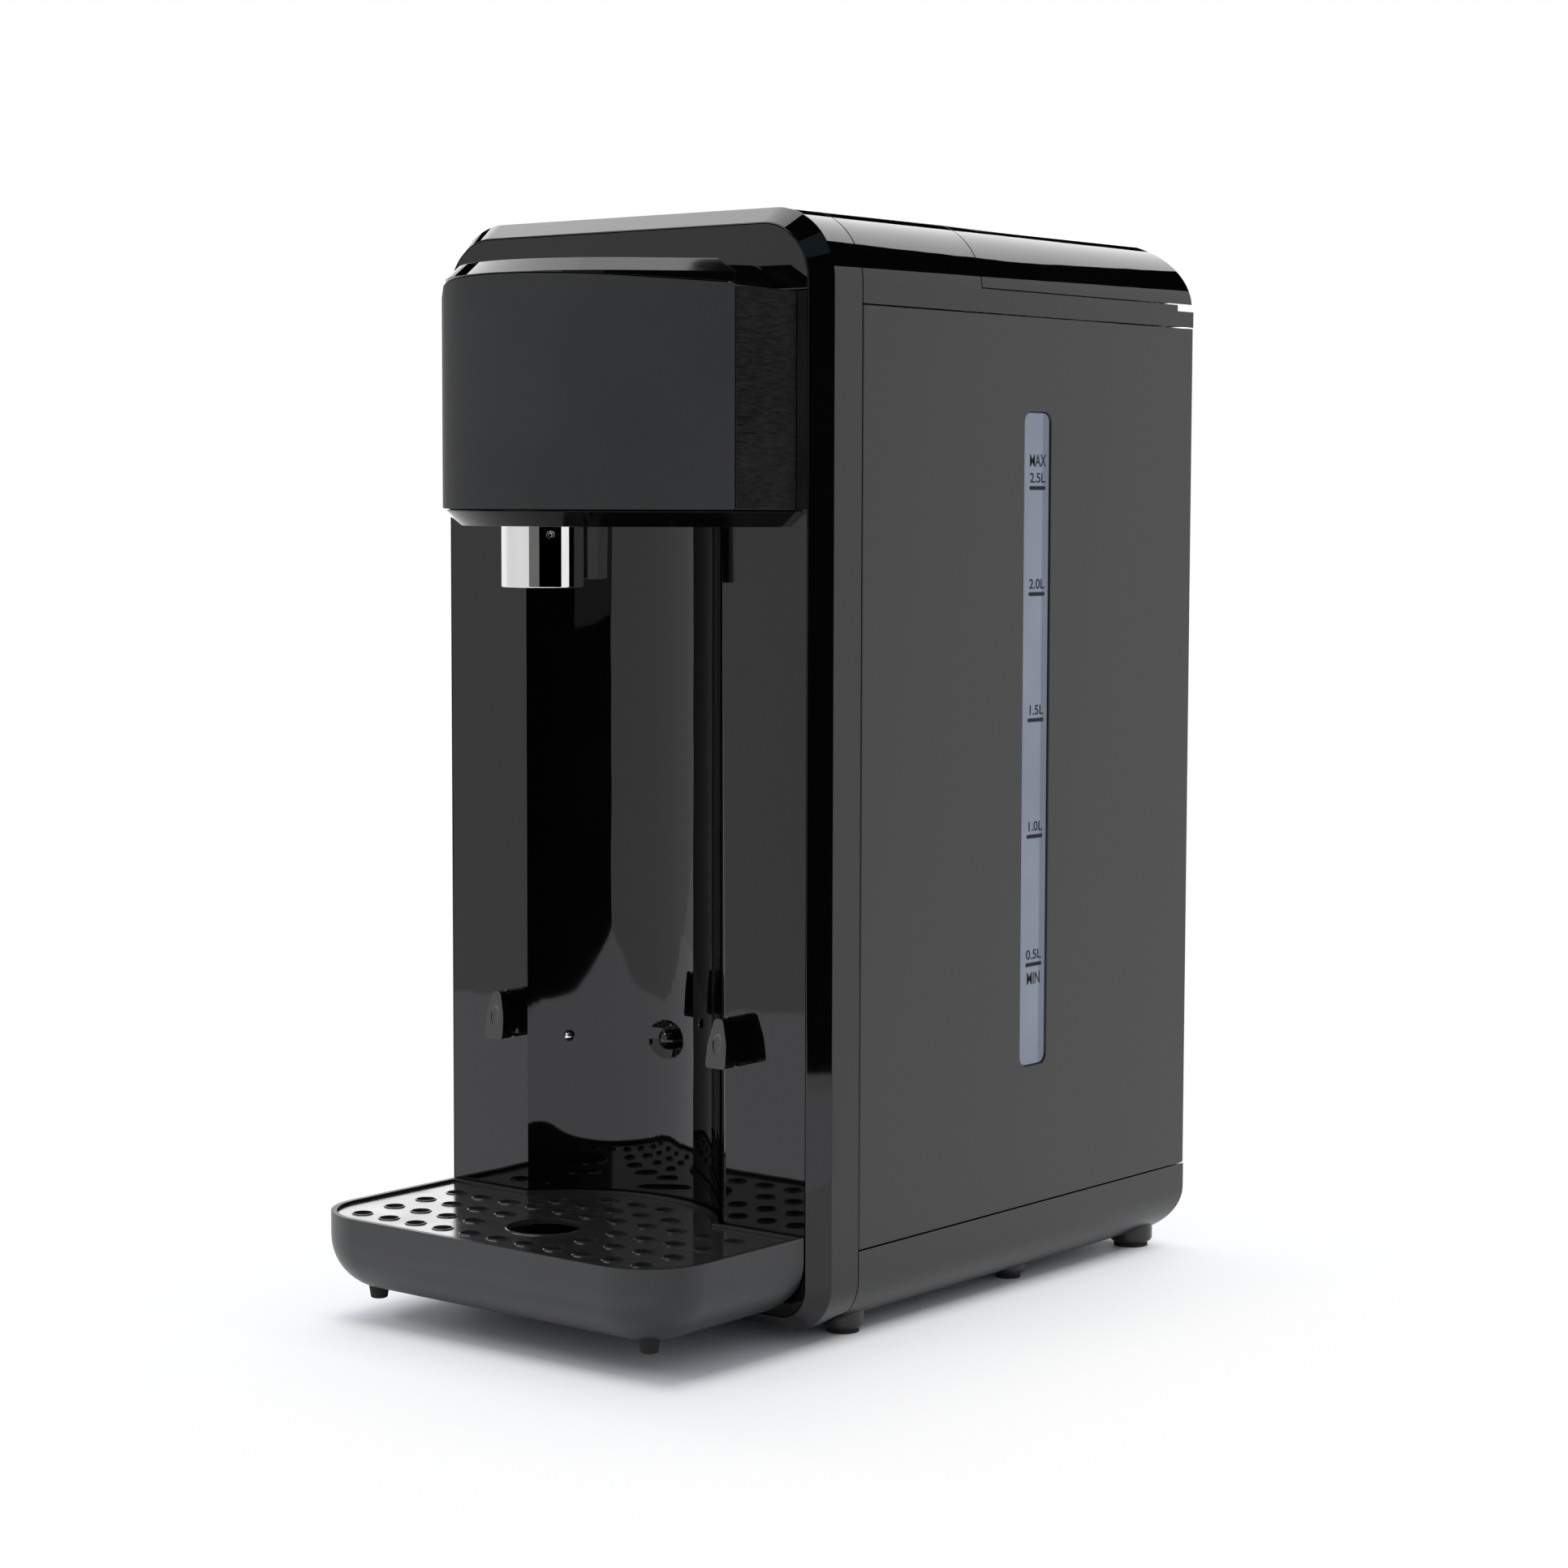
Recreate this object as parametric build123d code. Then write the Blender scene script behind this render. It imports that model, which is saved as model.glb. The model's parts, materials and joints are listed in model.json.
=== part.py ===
from build123d import *
import math
import os

os.makedirs("parts", exist_ok=True)

# Countertop water dispenser, in millimetres. While it is drawn, y = 0 is the face of the front panel and
# +y runs to the rear, x = 0 is the middle, and z = 0 is the surface that the dispenser stands on. At the
# end every piece is moved back by the same amount, so that the origin lies under the middle of the box.

# Body
body_width = 139.6
body_height = 306.0
body_depth = 182.1  # front panel face to rear panel face
base_underside = 3.7
top_radius = 20.0
base_radius = 13.5
rear_top_radius = 19.0
rear_base_radius = 15.0
seam_gap = 0.3
fit_gap = 0.15
edge_break = 0.4

# Heights of the seams round the body
base_seam = 24.9
side_seam_drop = 25.4  # below the top of the body
lid_seam_drop = 18.9

# Front frame, with its wide bevel
frame_depth = 17.6
bevel_width = 4.3
bevel_depth = 5.7
front_land = 0.3
ledge_width = 2.6
ledge_depth = 3.0

# Walls
side_wall = 2.2
cover_wall = 2.4
base_wall = 2.6
panel_wall = 2.5

# Cup bay in the front panel
bay_radius = 43.6
bay_depth = 19.0
bay_roof = 4.8  # above the underside of the head
bay_edge_radius = 2.0

# Head
head_reach = 48.7
nose_radius = 48.4
nose_angle = 44.7  # degrees each side of the middle
flank_length = 27.7
root_inset = 8.2  # in from the side of the body
head_bottom_drop = 84.8  # below the top of the body
plate_bottom_rise = 4.6  # above the underside of the head
plate_height = 61.7  # at the nose
cap_height = 4.0
plate_fall = 3.75  # of the upper edge, from the nose to the panel
skin = 1.5
cap_wall = 2.4
cap_inset = 0.5
cap_radius = 3.5
cap_root_drop = 2.2
cap_root_radius = 2.2
cap_overlap = 5.0
core_drop = 0.5
bottom_radius = 4.2

# Spout
spout_y = -32.1
spout_radius = 11.05
spout_reach = 16.3  # below the head
spout_wall = 1.6
spout_flange = 2.0
spout_collar = 1.3
spout_depth = 9.0  # above the underside of the head
spout_disc_recess = 2.0
spout_disc_thickness = 2.0
spout_disc_hole = 1.2
spout_disc_pitch = 5.0
spout_disc_holes = 6
spout_screw_radius = 1.15
spout_screw_azimuth = 54.0
spout_screw_drop = 2.3
pipe_radius = 3.0
pipe_bore = 2.0
pipe_rise = 40.8  # above the underside of the head
head_screw_x = 37.0
head_screw_length = 9.0
bend_radius = 8.0

# Pegs, studs and sensor on the front panel
peg_x = 41.1
peg_width = 7.0
peg_height = 13.4
peg_reach = 8.1
peg_z = 82.2
peg_top_width = 2.8
peg_neck = 0.8
peg_rounding = 0.5
peg_groove = (3.2, 4.6)  # from the panel
stud_x = 28.0
stud_z = 75.6
stud_radius = 1.5
sensor_z = 76.1
sensor_radius = 3.4
sensor_reach = 1.8
sensor_stem = 2.4

# Drip tray and grille
tray_inset = 4.5  # in from the side of the body
tray_front = 61.0
tray_bottom = 9.5
tray_rim = 31.2
tray_corner_radius = 20.0
tray_edge_radius = 15.0
tray_rear_radius = 10.0
tray_wall = 1.6
tray_ledge = 1.8
tray_floor = 2.2
tray_panel_gap = 0.6
tray_bay_gap = 0.9
lobe_bottom = 17.0
grille_top = 30.4
grille_thickness = 1.2
grille_gap = 0.4
grille_hole_radius = 2.65
hole_pitch_x = 10.3
hole_pitch_y = 12.4
front_hole_row = -50.6
front_hole_rows = 4
front_hole_columns = 11
lobe_hole_pitch = 9.7
lobe_hole_columns = (5, 3)
drain_radius = 10.3
tongue_x = 45.0
tongue_width = 10.0
tongue_height = 6.0
tongue_z = 21.0
tongue_length = 16.0
slide_gap = 0.3
tray_foot_inset = 15.4
tray_foot_setback = 15.0
tray_foot_radius = 2.9
tray_foot_bottom = 6.2
tray_foot_seat = 1.2

# Feet
front_foot = (11.4, 7.9, 6.0)  # in from the side, back from the frame, radius
middle_foot = (14.6, 72.6, 5.0)  # in from the side, forward of the rear, radius
rear_foot = (11.1, 12.1, 6.6)
foot_pad_height = 1.4
foot_pad_inset = 1.4
foot_boss_top = 12.0

# Level window
window_y = 100.1
window_width = 12.9
window_bottom = 65.8
window_top_gap = 27.0  # below the side seam
window_radius = 3.0
window_recess = 0.4

# Tank
tank_side_gap = 0.7
tank_wall = 1.9
tank_floor = 2.3
tank_base = 58.4
tank_front = 61.8
tank_rear_gap = 4.0
tank_corner_radius = 8.0
outlet_drop = 9.0
strainer_radius = 8.0
strainer_height = 9.0
strainer_slot = 1.2
strainer_slots = 4

# Chassis
chassis_wall = 2.5
bulkhead_y = 58.0
chassis_side_gap = 1.6
leg_inset = 16.3
leg_width = 3.0
leg_rear_gap = 32.1
screw_inset = 22.8
screw_setback = 14.0
screw_pitch = 70.0
screw_boss_radius = 4.5
screw_boss_height = 14.0
screw_radius = 1.6
screw_head_radius = 3.1
screw_head_height = 1.2
screw_length = 11.0

# Pump, heater and boards
pump_x = -22.0
pump_z = 27.0
pump_radius = 15.0
pump_setback = 14.0
pump_length = 52.0
port_radius = 4.0
port_bore = 2.5
port_length = 8.0
outlet_setback = 21.0  # of the tank's outlet, behind the pump
port_lap = 5.0
hose_wall = 1.6
hose_gap = 0.05
saddle_width = 8.0
heater_y = 40.0
heater_radius = 13.5
heater_drop = 24.0  # below the pipe into the head
heater_length = 120.0
clamp_insets = (22.0, 23.0)  # in from the heater's ends
clamp_height = 10.0
cutout_rise = 62.0
cutout_radius = 6.0
cutout_thickness = 5.0
board_thickness = 1.6
board_x = (6.0, 58.0)
board_z = (60.0, 150.0)
board_blocks = (
    (12.0, 30.0, 78.0, 104.0, 16.0),  # x from, x to, z from, z to, height
    (34.0, 54.0, 112.0, 126.0, 14.0),
    (36.0, 52.0, 72.0, 88.0, 9.0),
)
capacitor_spots = ((18.0, 118.0), (18.0, 134.0), (42.0, 100.0))
capacitor_radius = 5.0
capacitor_height = 15.0
standoff_radius = 3.0
standoff_length = 4.4

# Control panel on top
control_inset = 23.8
control_front = 30.0
control_rear = 60.0
control_flange = 2.5
control_flange_height = 1.8
control_post_inset = 4.0
button_inset = 18.0
button_radius = 8.0
button_gap = 0.2
button_travel = 1.2
button_flange = 1.2
button_flange_height = 1.5
button_stem_radius = 2.5
button_stem_length = 2.0
switch_size = 6.0
switch_height = 2.0
press_gap = 0.1

# Tank lid and its hinge
lid_front = 72.0
lid_rear_inset = 0.9
lid_wall = 2.2
rim_width = 5.0
rim_relief = 1.8
hinge_forward = 3.8  # forward of the rear panel's face
hinge_rise = 1.9  # above the lid's seam
hinge_inset = 21.8
pin_radius = 1.25
pin_gap = 0.06
knuckle_radius = 2.4
ear_width = 8.0
knuckle_width = 6.0
hinge_gap = 0.4
scallop_radius = 14.0
scallop_depth = 1.6

# Rear connections
rear_fitting_z = 40.5
inlet_x = 36.0
inlet_width = 27.0
inlet_height = 20.0
inlet_depth = 21.0
inlet_wall = 2.6
pin_blade = (2.0, 4.0, 12.0)
inlet_pin_spots = ((-7.0, -2.0), (0.0, 2.0), (7.0, -2.0))
rocker_x = -36.0
rocker_radius = 7.4
rocker_width = 10.6
rocker_swing = 8.0
rocker_gap = 0.3
switch_wall = 2.4

# Worked out from the sizes above
half_width = body_width / 2
side_seam = body_height - side_seam_drop
lid_seam = body_height - lid_seam_drop
root_half_width = half_width - root_inset
head_bottom = body_height - head_bottom_drop
plate_bottom = head_bottom + plate_bottom_rise
plate_top = plate_bottom + plate_height
head_top = plate_top + cap_height
bay_top = head_bottom + bay_roof
spout_bottom = head_bottom - spout_reach
pipe_height = head_bottom + pipe_rise
tray_half_width = half_width - tray_inset
tray_foot_x = tray_half_width - tray_foot_inset
tray_foot_y = tray_foot_setback - tray_front
foot_spots = (
    (half_width - front_foot[0], frame_depth + front_foot[1], front_foot[2]),
    (half_width - middle_foot[0], body_depth - middle_foot[1], middle_foot[2]),
    (half_width - rear_foot[0], body_depth - rear_foot[1], rear_foot[2]),
)
window_top = side_seam - window_top_gap
chassis_half_width = half_width - side_wall - chassis_side_gap
leg_x = half_width - leg_inset
control_half_width = half_width - control_inset
control_post_x = control_half_width - control_post_inset
button_x = control_half_width - button_inset
button_spots = (-button_x, 0, button_x)
button_y = (control_front + control_rear) / 2
hinge_x = half_width - hinge_inset
hinge_y = body_depth - hinge_forward
hinge_z = lid_seam + hinge_rise
frame_wall = bevel_width + front_land
bay_centre_y = bay_depth - bay_radius
plate_slope = plate_fall / head_reach
nose_centre_y = nose_radius - head_reach
nose_end_y = nose_centre_y - nose_radius * math.cos(math.radians(nose_angle))
seam_y = nose_end_y + flank_length * math.sin(math.radians(nose_angle))
lid_rear = body_depth - lid_rear_inset
tank_half_width = half_width - side_wall - tank_side_gap
tank_rear = body_depth - tank_rear_gap
leg_rear = tank_rear - leg_rear_gap
screw_front = bulkhead_y + screw_setback
screw_spots = (
    (half_width - screw_inset, screw_front),
    (half_width - screw_inset, screw_front + screw_pitch),
)
pump_front = bulkhead_y + pump_setback
tank_top = side_seam - seam_gap
grille_bottom = grille_top - grille_thickness
heater_top = pipe_height - heater_drop
heater_bottom = heater_top - heater_length
clamp_heights = (heater_bottom + clamp_insets[0], heater_top - clamp_insets[1] - clamp_height)
cutout_height = heater_bottom + cutout_rise
pump_rear = pump_front + pump_length
outlet_y = pump_rear + outlet_setback
hose_radius = port_radius + hose_wall
base_floor = base_underside + base_wall
switch_width = rocker_width + 2 * (rocker_gap + switch_wall)
switch_box_height = 2 * (rocker_radius + rocker_gap + switch_wall)
rocker_y = body_depth - rocker_radius * math.sin(math.radians(2 * rocker_swing))
control_underside = body_height - cover_wall - control_flange_height
button_stem_end = control_underside - fit_gap - button_flange_height - button_stem_length
board_top = button_stem_end - button_travel - press_gap - switch_height
far = 400.0


def block(x0, x1, y0, y1, z0, z1):
    size = Box(x1 - x0, y1 - y0, z1 - z0)
    return Pos((x0 + x1) / 2, (y0 + y1) / 2, (z0 + z1) / 2) * size


def upright(radius, x, y, z0, z1):
    return Pos(x, y, (z0 + z1) / 2) * Cylinder(radius, z1 - z0)


def along_x(radius, y, z, x0, x1):
    return Pos((x0 + x1) / 2, y, z) * Rot(0, 90, 0) * Cylinder(radius, x1 - x0)


def along_y(radius, x, z, y0, y1):
    return Pos(x, (y0 + y1) / 2, z) * Rot(90, 0, 0) * Cylinder(radius, y1 - y0)


def both_sides(shape):
    return shape + mirror(shape, about=Plane.YZ)


def pair(shape):
    # Two separate solids, one on each side of the middle.
    return [shape, mirror(shape, about=Plane.YZ)]


def body_section(inset=0.0):
    # Front view of the body: a rectangle with larger corners at the top than at the bottom.
    height = body_height - base_underside - 2 * inset
    face = Rectangle(body_width - 2 * inset, height)
    face = fillet(face.vertices().group_by(Axis.Y)[-1], top_radius - inset)
    face = fillet(face.vertices().group_by(Axis.Y)[0], base_radius - inset)
    return Plane.XZ * Pos(0, (body_height + base_underside) / 2) * face


def body_run(inset, y0, y1):
    return extrude(Pos(0, y0, 0) * body_section(inset), amount=y1 - y0, dir=(0, 1, 0))


def side_profile(points):
    # A closed outline in the side view, as wide as the whole part.
    face = make_face(Polyline(*[(0, y, z) for y, z in points], close=True))
    return extrude(Pos(-far / 2, 0, 0) * face, amount=far, dir=(1, 0, 0))


def front_frame():
    bevel = loft([body_section(bevel_width), Pos(0, bevel_depth, 0) * body_section()], ruled=True)
    ring = bevel + body_run(0, bevel_depth, frame_depth)
    ring -= body_run(frame_wall, 0, frame_depth)
    ring = chamfer(ring.edges().filter_by_position(Axis.Y, frame_depth, frame_depth), edge_break)
    ledge = body_run(frame_wall, panel_wall, panel_wall + ledge_depth)
    ledge -= body_run(frame_wall + ledge_width, panel_wall, panel_wall + ledge_depth)
    bay_room = bay_radius + panel_wall
    ledge -= block(-bay_room, bay_room, 0, frame_depth, base_underside, tray_rim)
    return ring + ledge


def stud_place():
    # On the wall of the cup bay, looking out along its radius.
    angle = math.degrees(math.asin(stud_x / bay_radius))
    return Pos(0, bay_centre_y, 0) * Rot(0, 0, -angle)


def stud_shank(gap):
    y0 = bay_radius - stud_radius
    return stud_place() * along_y(stud_radius / 2 + gap, 0, stud_z, y0, bay_radius + panel_wall)


def tongue(gap, y0, y1):
    width = tongue_width / 2 + gap
    height = tongue_height / 2 + gap
    return block(
        tongue_x - width, tongue_x + width, y0, y1, tongue_z - height, tongue_z + height
    )


def head_screw(radius, y0, y1):
    return along_y(radius, head_screw_x, pipe_height, y0, y1)


def front_panel():
    floor_z = base_underside + frame_wall + fit_gap
    plate = body_run(frame_wall + fit_gap, 0, panel_wall)
    shell = upright(bay_radius + panel_wall, 0, bay_centre_y, floor_z, bay_top + panel_wall)
    shell &= block(-far, far, 0, far, 0, far)
    hollow = upright(bay_radius, 0, bay_centre_y, floor_z + panel_wall, bay_top)
    panel = plate + shell - hollow
    brow = panel.edges().filter_by(Axis.Z).filter_by_position(Axis.Y, 0, 0)
    panel = fillet(brow.sort_by(lambda edge: abs(edge.center().X))[:2], bay_edge_radius)
    panel += both_sides(tongue(slide_gap + panel_wall, panel_wall, tongue_length))
    panel -= both_sides(tongue(slide_gap, 0, tongue_length))
    panel -= both_sides(along_y(stud_radius + fit_gap, peg_x, peg_z, 0, panel_wall))
    panel -= both_sides(stud_shank(0))
    panel -= both_sides(head_screw(screw_radius + fit_gap, 0, panel_wall))
    panel -= along_y(pipe_radius + fit_gap, 0, pipe_height, 0, panel_wall)
    return panel - along_y(sensor_stem, 0, sensor_z, 0, bay_depth + panel_wall)


def side_panel():
    panel = block(
        half_width - side_wall,
        half_width,
        frame_depth + seam_gap,
        body_depth,
        base_seam + seam_gap,
        side_seam - seam_gap,
    )
    return chamfer(panel.faces().sort_by(Axis.X)[-1].edges(), edge_break)


def window_outline(inset):
    face = RectangleRounded(
        window_width - 2 * inset, window_top - window_bottom - 2 * inset, window_radius - inset
    )
    return Plane.YZ * Pos(window_y, (window_top + window_bottom) / 2) * face


def side_panel_right():
    slot = extrude(window_outline(0), amount=far)
    return side_panel() - slot


def side_panel_left():
    return mirror(side_panel(), about=Plane.YZ)


def level_window():
    pane = Pos(half_width - side_wall, 0, 0) * window_outline(fit_gap)
    return extrude(pane, amount=side_wall - window_recess)


def rear_panel():
    inner = half_width - side_wall - fit_gap
    panel = block(
        -inner, inner, body_depth - side_wall, body_depth, base_seam + seam_gap, side_seam - seam_gap
    )
    panel -= fitting_box(inlet_x, inlet_width, inlet_height, fit_gap)
    return panel - fitting_box(rocker_x, switch_width, switch_box_height, fit_gap)


def fitting_box(x, width, height, gap):
    half = width / 2 + gap
    return block(
        x - half,
        x + half,
        body_depth - inlet_depth,
        body_depth,
        rear_fitting_z - height / 2 - gap,
        rear_fitting_z + height / 2 + gap,
    )


def base_profile(inset):
    # Side view of the base, with its rounded lower edge at the rear.
    y1 = body_depth - inset
    z0 = base_underside + inset
    radius = rear_base_radius - inset
    face = Rectangle(y1, body_height)
    face = fillet(face.vertices().sort_by(Axis.X)[-2:].sort_by(Axis.Y)[0], radius)
    return extrude(
        Plane.YZ * Pos(y1 / 2, z0 + body_height / 2) * face, amount=half_width, both=True
    )


def foot_boss(x, y, radius):
    boss = upright(radius, x, y, foot_pad_height, foot_boss_top)
    return fillet(boss.edges().group_by(Axis.Z)[0], foot_pad_inset)


def base_shell():
    y0 = frame_depth + seam_gap
    outer = body_run(0, y0, body_depth) & base_profile(0)
    outer &= block(-far, far, 0, far, 0, base_seam)
    for x, y, radius in foot_spots:
        outer += both_sides(foot_boss(x, y, radius))
    inner = body_run(base_wall, y0, body_depth - base_wall) & base_profile(base_wall)
    shell = outer - inner
    head_top = base_underside + screw_head_height
    for x, y in screw_spots:
        shell -= both_sides(upright(screw_radius + fit_gap, x, y, 0, base_seam))
        shell -= both_sides(upright(screw_head_radius + fit_gap, x, y, 0, head_top))
    return shell


def foot_pads():
    pads = []
    for x, y, radius in foot_spots:
        pads += pair(upright(radius - foot_pad_inset, x, y, 0, foot_pad_height))
    return pads


def base_screws():
    screws = []
    for x, y in screw_spots:
        top = base_underside + screw_head_height
        head = upright(screw_head_radius, x, y, base_underside, top)
        screws += pair(head + upright(screw_radius, x, y, top, top + screw_length))
    return screws


def hinge_ear():
    x0 = hinge_x - ear_width / 2
    x1 = hinge_x + ear_width / 2
    barrel = along_x(knuckle_radius, hinge_y, hinge_z, x0, x1)
    foot = lid_seam - rim_relief - edge_break
    front = hinge_y - knuckle_radius
    barrel += block(x0, x1, front, hinge_y + knuckle_radius / 2, foot, hinge_z)
    return barrel - along_x(pin_radius, hinge_y, hinge_z, x0, x1)


def top_collar():
    y0 = frame_depth + seam_gap
    above = block(-far, far, 0, far, side_seam, far)
    cover = body_run(0, y0, lid_front) & above
    cover = cover - body_run(cover_wall, y0, lid_front - cover_wall)
    cover = chamfer(
        cover.edges().filter_by_position(Axis.Y, y0, y0).filter_by(GeomType.CIRCLE), edge_break
    )
    band = block(-far, far, lid_front, body_depth, side_seam, lid_seam)
    ring = body_run(0, lid_front, body_depth) & band
    ring -= block(
        -half_width + rim_width,
        half_width - rim_width,
        lid_front,
        body_depth - rim_width,
        side_seam,
        lid_seam,
    )
    ring -= block(-far, far, hinge_y - rim_width, body_depth, lid_seam - rim_relief, lid_seam)
    collar = cover + ring + both_sides(hinge_ear())
    collar -= block(
        -control_half_width - fit_gap,
        control_half_width + fit_gap,
        control_front - fit_gap,
        control_rear + fit_gap,
        body_height - cover_wall,
        body_height,
    )
    hollow = Pos(0, lid_front, body_height) * Sphere(scallop_radius)
    hollow = scale(hollow, by=(1, 1, scallop_depth / scallop_radius))
    hollow &= block(-far, far, 0, lid_front, 0, far)
    return collar - hollow


def lid_block(inset, y0):
    y1 = lid_rear - inset
    face = Rectangle(y1, body_height)
    face = fillet(face.vertices().group_by(Axis.Y)[-1].sort_by(Axis.X)[-1], rear_top_radius - inset)
    height = body_height - inset
    profile = Plane.YZ * Pos(y1 / 2, height - body_height / 2) * face
    shape = body_run(inset, y0, y1) & extrude(profile, amount=half_width, both=True)
    return shape & block(-far, far, 0, far, lid_seam + seam_gap, far)


def lid_knuckle(x):
    x0 = x - knuckle_width / 2
    x1 = x + knuckle_width / 2
    barrel = along_x(knuckle_radius, hinge_y, hinge_z, x0, x1)
    web = block(x0, x1, hinge_y - knuckle_radius, hinge_y, hinge_z, body_height)
    return barrel + web


def tank_lid():
    y0 = lid_front + seam_gap
    outer = lid_block(0, y0)
    lid = outer - lid_block(lid_wall, y0 + lid_wall)
    pitch = (ear_width + knuckle_width) / 2 + hinge_gap
    room = ear_width / 2 + hinge_gap
    reach = knuckle_radius + hinge_gap
    for x in (hinge_x - pitch, hinge_x + pitch):
        lid += both_sides(lid_knuckle(x) & outer)
    gap = block(
        hinge_x - room, hinge_x + room, hinge_y - reach, body_depth, lid_seam, hinge_z + reach
    )
    lid -= both_sides(gap)
    return lid - both_sides(hinge_rod(pin_radius + pin_gap, 0))


def hinge_rod(radius, short):
    reach = ear_width / 2 + hinge_gap + knuckle_width - short
    return along_x(radius, hinge_y, hinge_z, hinge_x - reach, hinge_x + reach)


def lid_hinge_pins():
    return pair(hinge_rod(pin_radius, fit_gap))


def water_tank():
    middle = (tank_front + tank_rear) / 2
    face = RectangleRounded(2 * tank_half_width, tank_rear - tank_front, tank_corner_radius)
    inner = RectangleRounded(
        2 * (tank_half_width - tank_wall),
        tank_rear - tank_front - 2 * tank_wall,
        tank_corner_radius - tank_wall,
    )
    tank = extrude(Pos(0, middle, tank_base) * face, amount=tank_top - tank_base)
    tank -= extrude(Pos(0, middle, tank_base + tank_floor) * inner, amount=body_height)
    tank += upright(port_radius, 0, outlet_y, tank_base - outlet_drop, tank_base)
    return tank - upright(port_bore, 0, outlet_y, 0, tank_base + tank_floor)


def tank_strainer():
    floor = tank_base + tank_floor
    top = floor + strainer_height
    basket = upright(strainer_radius, 0, outlet_y, floor, top)
    basket -= upright(strainer_radius - skin, 0, outlet_y, floor, top - skin)
    for turn in range(strainer_slots):
        slot = Rot(0, 0, 180 / strainer_slots * turn) * Box(far, strainer_slot, top - floor - 2 * skin)
        basket -= Pos(0, outlet_y, (floor + top) / 2) * slot
    return basket


def chassis():
    shelf_z = tank_base - chassis_wall
    half = chassis_half_width
    wall_rear = bulkhead_y + chassis_wall
    frame = block(-half, half, bulkhead_y, wall_rear, base_seam, side_seam - seam_gap)
    frame += block(-half, half, bulkhead_y, tank_rear, shelf_z, tank_base)
    leg = block(
        leg_x - leg_width / 2,
        leg_x + leg_width / 2,
        bulkhead_y,
        leg_rear,
        base_floor,
        shelf_z,
    )
    frame += both_sides(leg)
    boss_top = base_floor + screw_boss_height
    for x, y in screw_spots:
        boss = upright(screw_boss_radius, x, y, base_floor, boss_top)
        boss += block(x, leg_x, y - leg_width / 2, y + leg_width / 2, base_floor, boss_top)
        frame += both_sides(boss)
    for x, y in screw_spots:
        frame -= both_sides(upright(screw_radius, x, y, base_floor, boss_top))
    frame -= along_y(hose_radius + fit_gap, pump_x, pump_z, bulkhead_y, wall_rear)
    return frame - upright(port_radius + fit_gap, 0, outlet_y, shelf_z, tank_base)


def pump():
    body = along_y(pump_radius, pump_x, pump_z, pump_front, pump_rear)
    ends = (pump_front - port_length, pump_rear + port_length)
    body += along_y(port_radius, pump_x, pump_z, *ends)
    body -= along_y(port_bore, pump_x, pump_z, ends[0], pump_front)
    return body - along_y(port_bore, pump_x, pump_z, pump_rear, ends[1])


def pump_saddles():
    # Two rubber blocks on the floor of the base, hollowed to the pump's round body.
    saddles = []
    for y in (pump_front, pump_rear - saddle_width):
        saddle = block(
            pump_x - pump_radius, pump_x + pump_radius, y, y + saddle_width, base_floor, pump_z
        )
        saddles.append(saddle - along_y(pump_radius, pump_x, pump_z, pump_front, pump_rear))
    return saddles


def hose(points, outer, bore):
    path = FilletPolyline(*points, radius=bend_radius)
    start = Plane(origin=path @ 0, z_dir=path % 0)
    return sweep(start * (Circle(outer) - Circle(bore)), path=path)


def suction_hose():
    points = (
        (0, outlet_y, tank_base - outlet_drop + port_lap),
        (0, outlet_y, pump_z),
        (pump_x, outlet_y, pump_z),
        (pump_x, pump_rear + port_length - port_lap, pump_z),
    )
    return hose(points, hose_radius, port_radius + hose_gap)


def delivery_hose():
    points = (
        (pump_x, pump_front - port_length + port_lap, pump_z),
        (pump_x, heater_y, pump_z),
        (pump_x, heater_y, heater_bottom - port_length + port_lap),
    )
    return hose(points, hose_radius, port_radius + hose_gap)


def spout_pipe():
    points = (
        (pump_x, heater_y, heater_top),
        (pump_x, heater_y, pipe_height),
        (0, heater_y, pipe_height),
        (0, spout_y, pipe_height),
        (0, spout_y, head_bottom + spout_depth),
    )
    return hose(points, pipe_radius, pipe_bore)


def heater():
    low = heater_bottom - port_length
    high = heater_top + port_length
    body = upright(heater_radius, pump_x, heater_y, heater_bottom, heater_top)
    body += upright(port_radius, pump_x, heater_y, low, high)
    body -= upright(port_bore, pump_x, heater_y, low, heater_bottom)
    return body - upright(pipe_radius + hose_gap, pump_x, heater_y, heater_top, high)

def heater_clamps():
    clamps = []
    outer = heater_radius + side_wall
    for z in clamp_heights:
        clamp = upright(outer, pump_x, heater_y, z, z + clamp_height)
        clamp += block(pump_x - outer, pump_x + outer, heater_y, bulkhead_y, z, z + clamp_height)
        clamps.append(clamp - upright(heater_radius, pump_x, heater_y, z, z + clamp_height))
    return clamps


def thermal_cutout():
    front = heater_y - heater_radius - cutout_thickness
    cup = along_y(cutout_radius, pump_x, cutout_height, front, heater_y)
    return cup - upright(heater_radius, pump_x, heater_y, heater_bottom, heater_top)


def power_board():
    x0, x1 = board_x
    z0, z1 = board_z
    rear = bulkhead_y - standoff_length
    return block(x0, x1, rear - board_thickness, rear, z0, z1)


def board_standoffs():
    x0, x1 = board_x
    z0, z1 = board_z
    rear = bulkhead_y - standoff_length
    posts = []
    for x in (x0 + 2 * standoff_radius, x1 - 2 * standoff_radius):
        for z in (z0 + 2 * standoff_radius, z1 - 2 * standoff_radius):
            posts.append(along_y(standoff_radius, x, z, rear, bulkhead_y))
    return posts


def board_components():
    parts = []
    front = bulkhead_y - standoff_length - board_thickness
    for x0, x1, z0, z1, height in board_blocks:
        parts.append(block(x0, x1, front - height, front, z0, z1))
    for x, z in capacitor_spots:
        parts.append(along_y(capacitor_radius, x, z, front - capacitor_height, front))
    return parts


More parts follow.
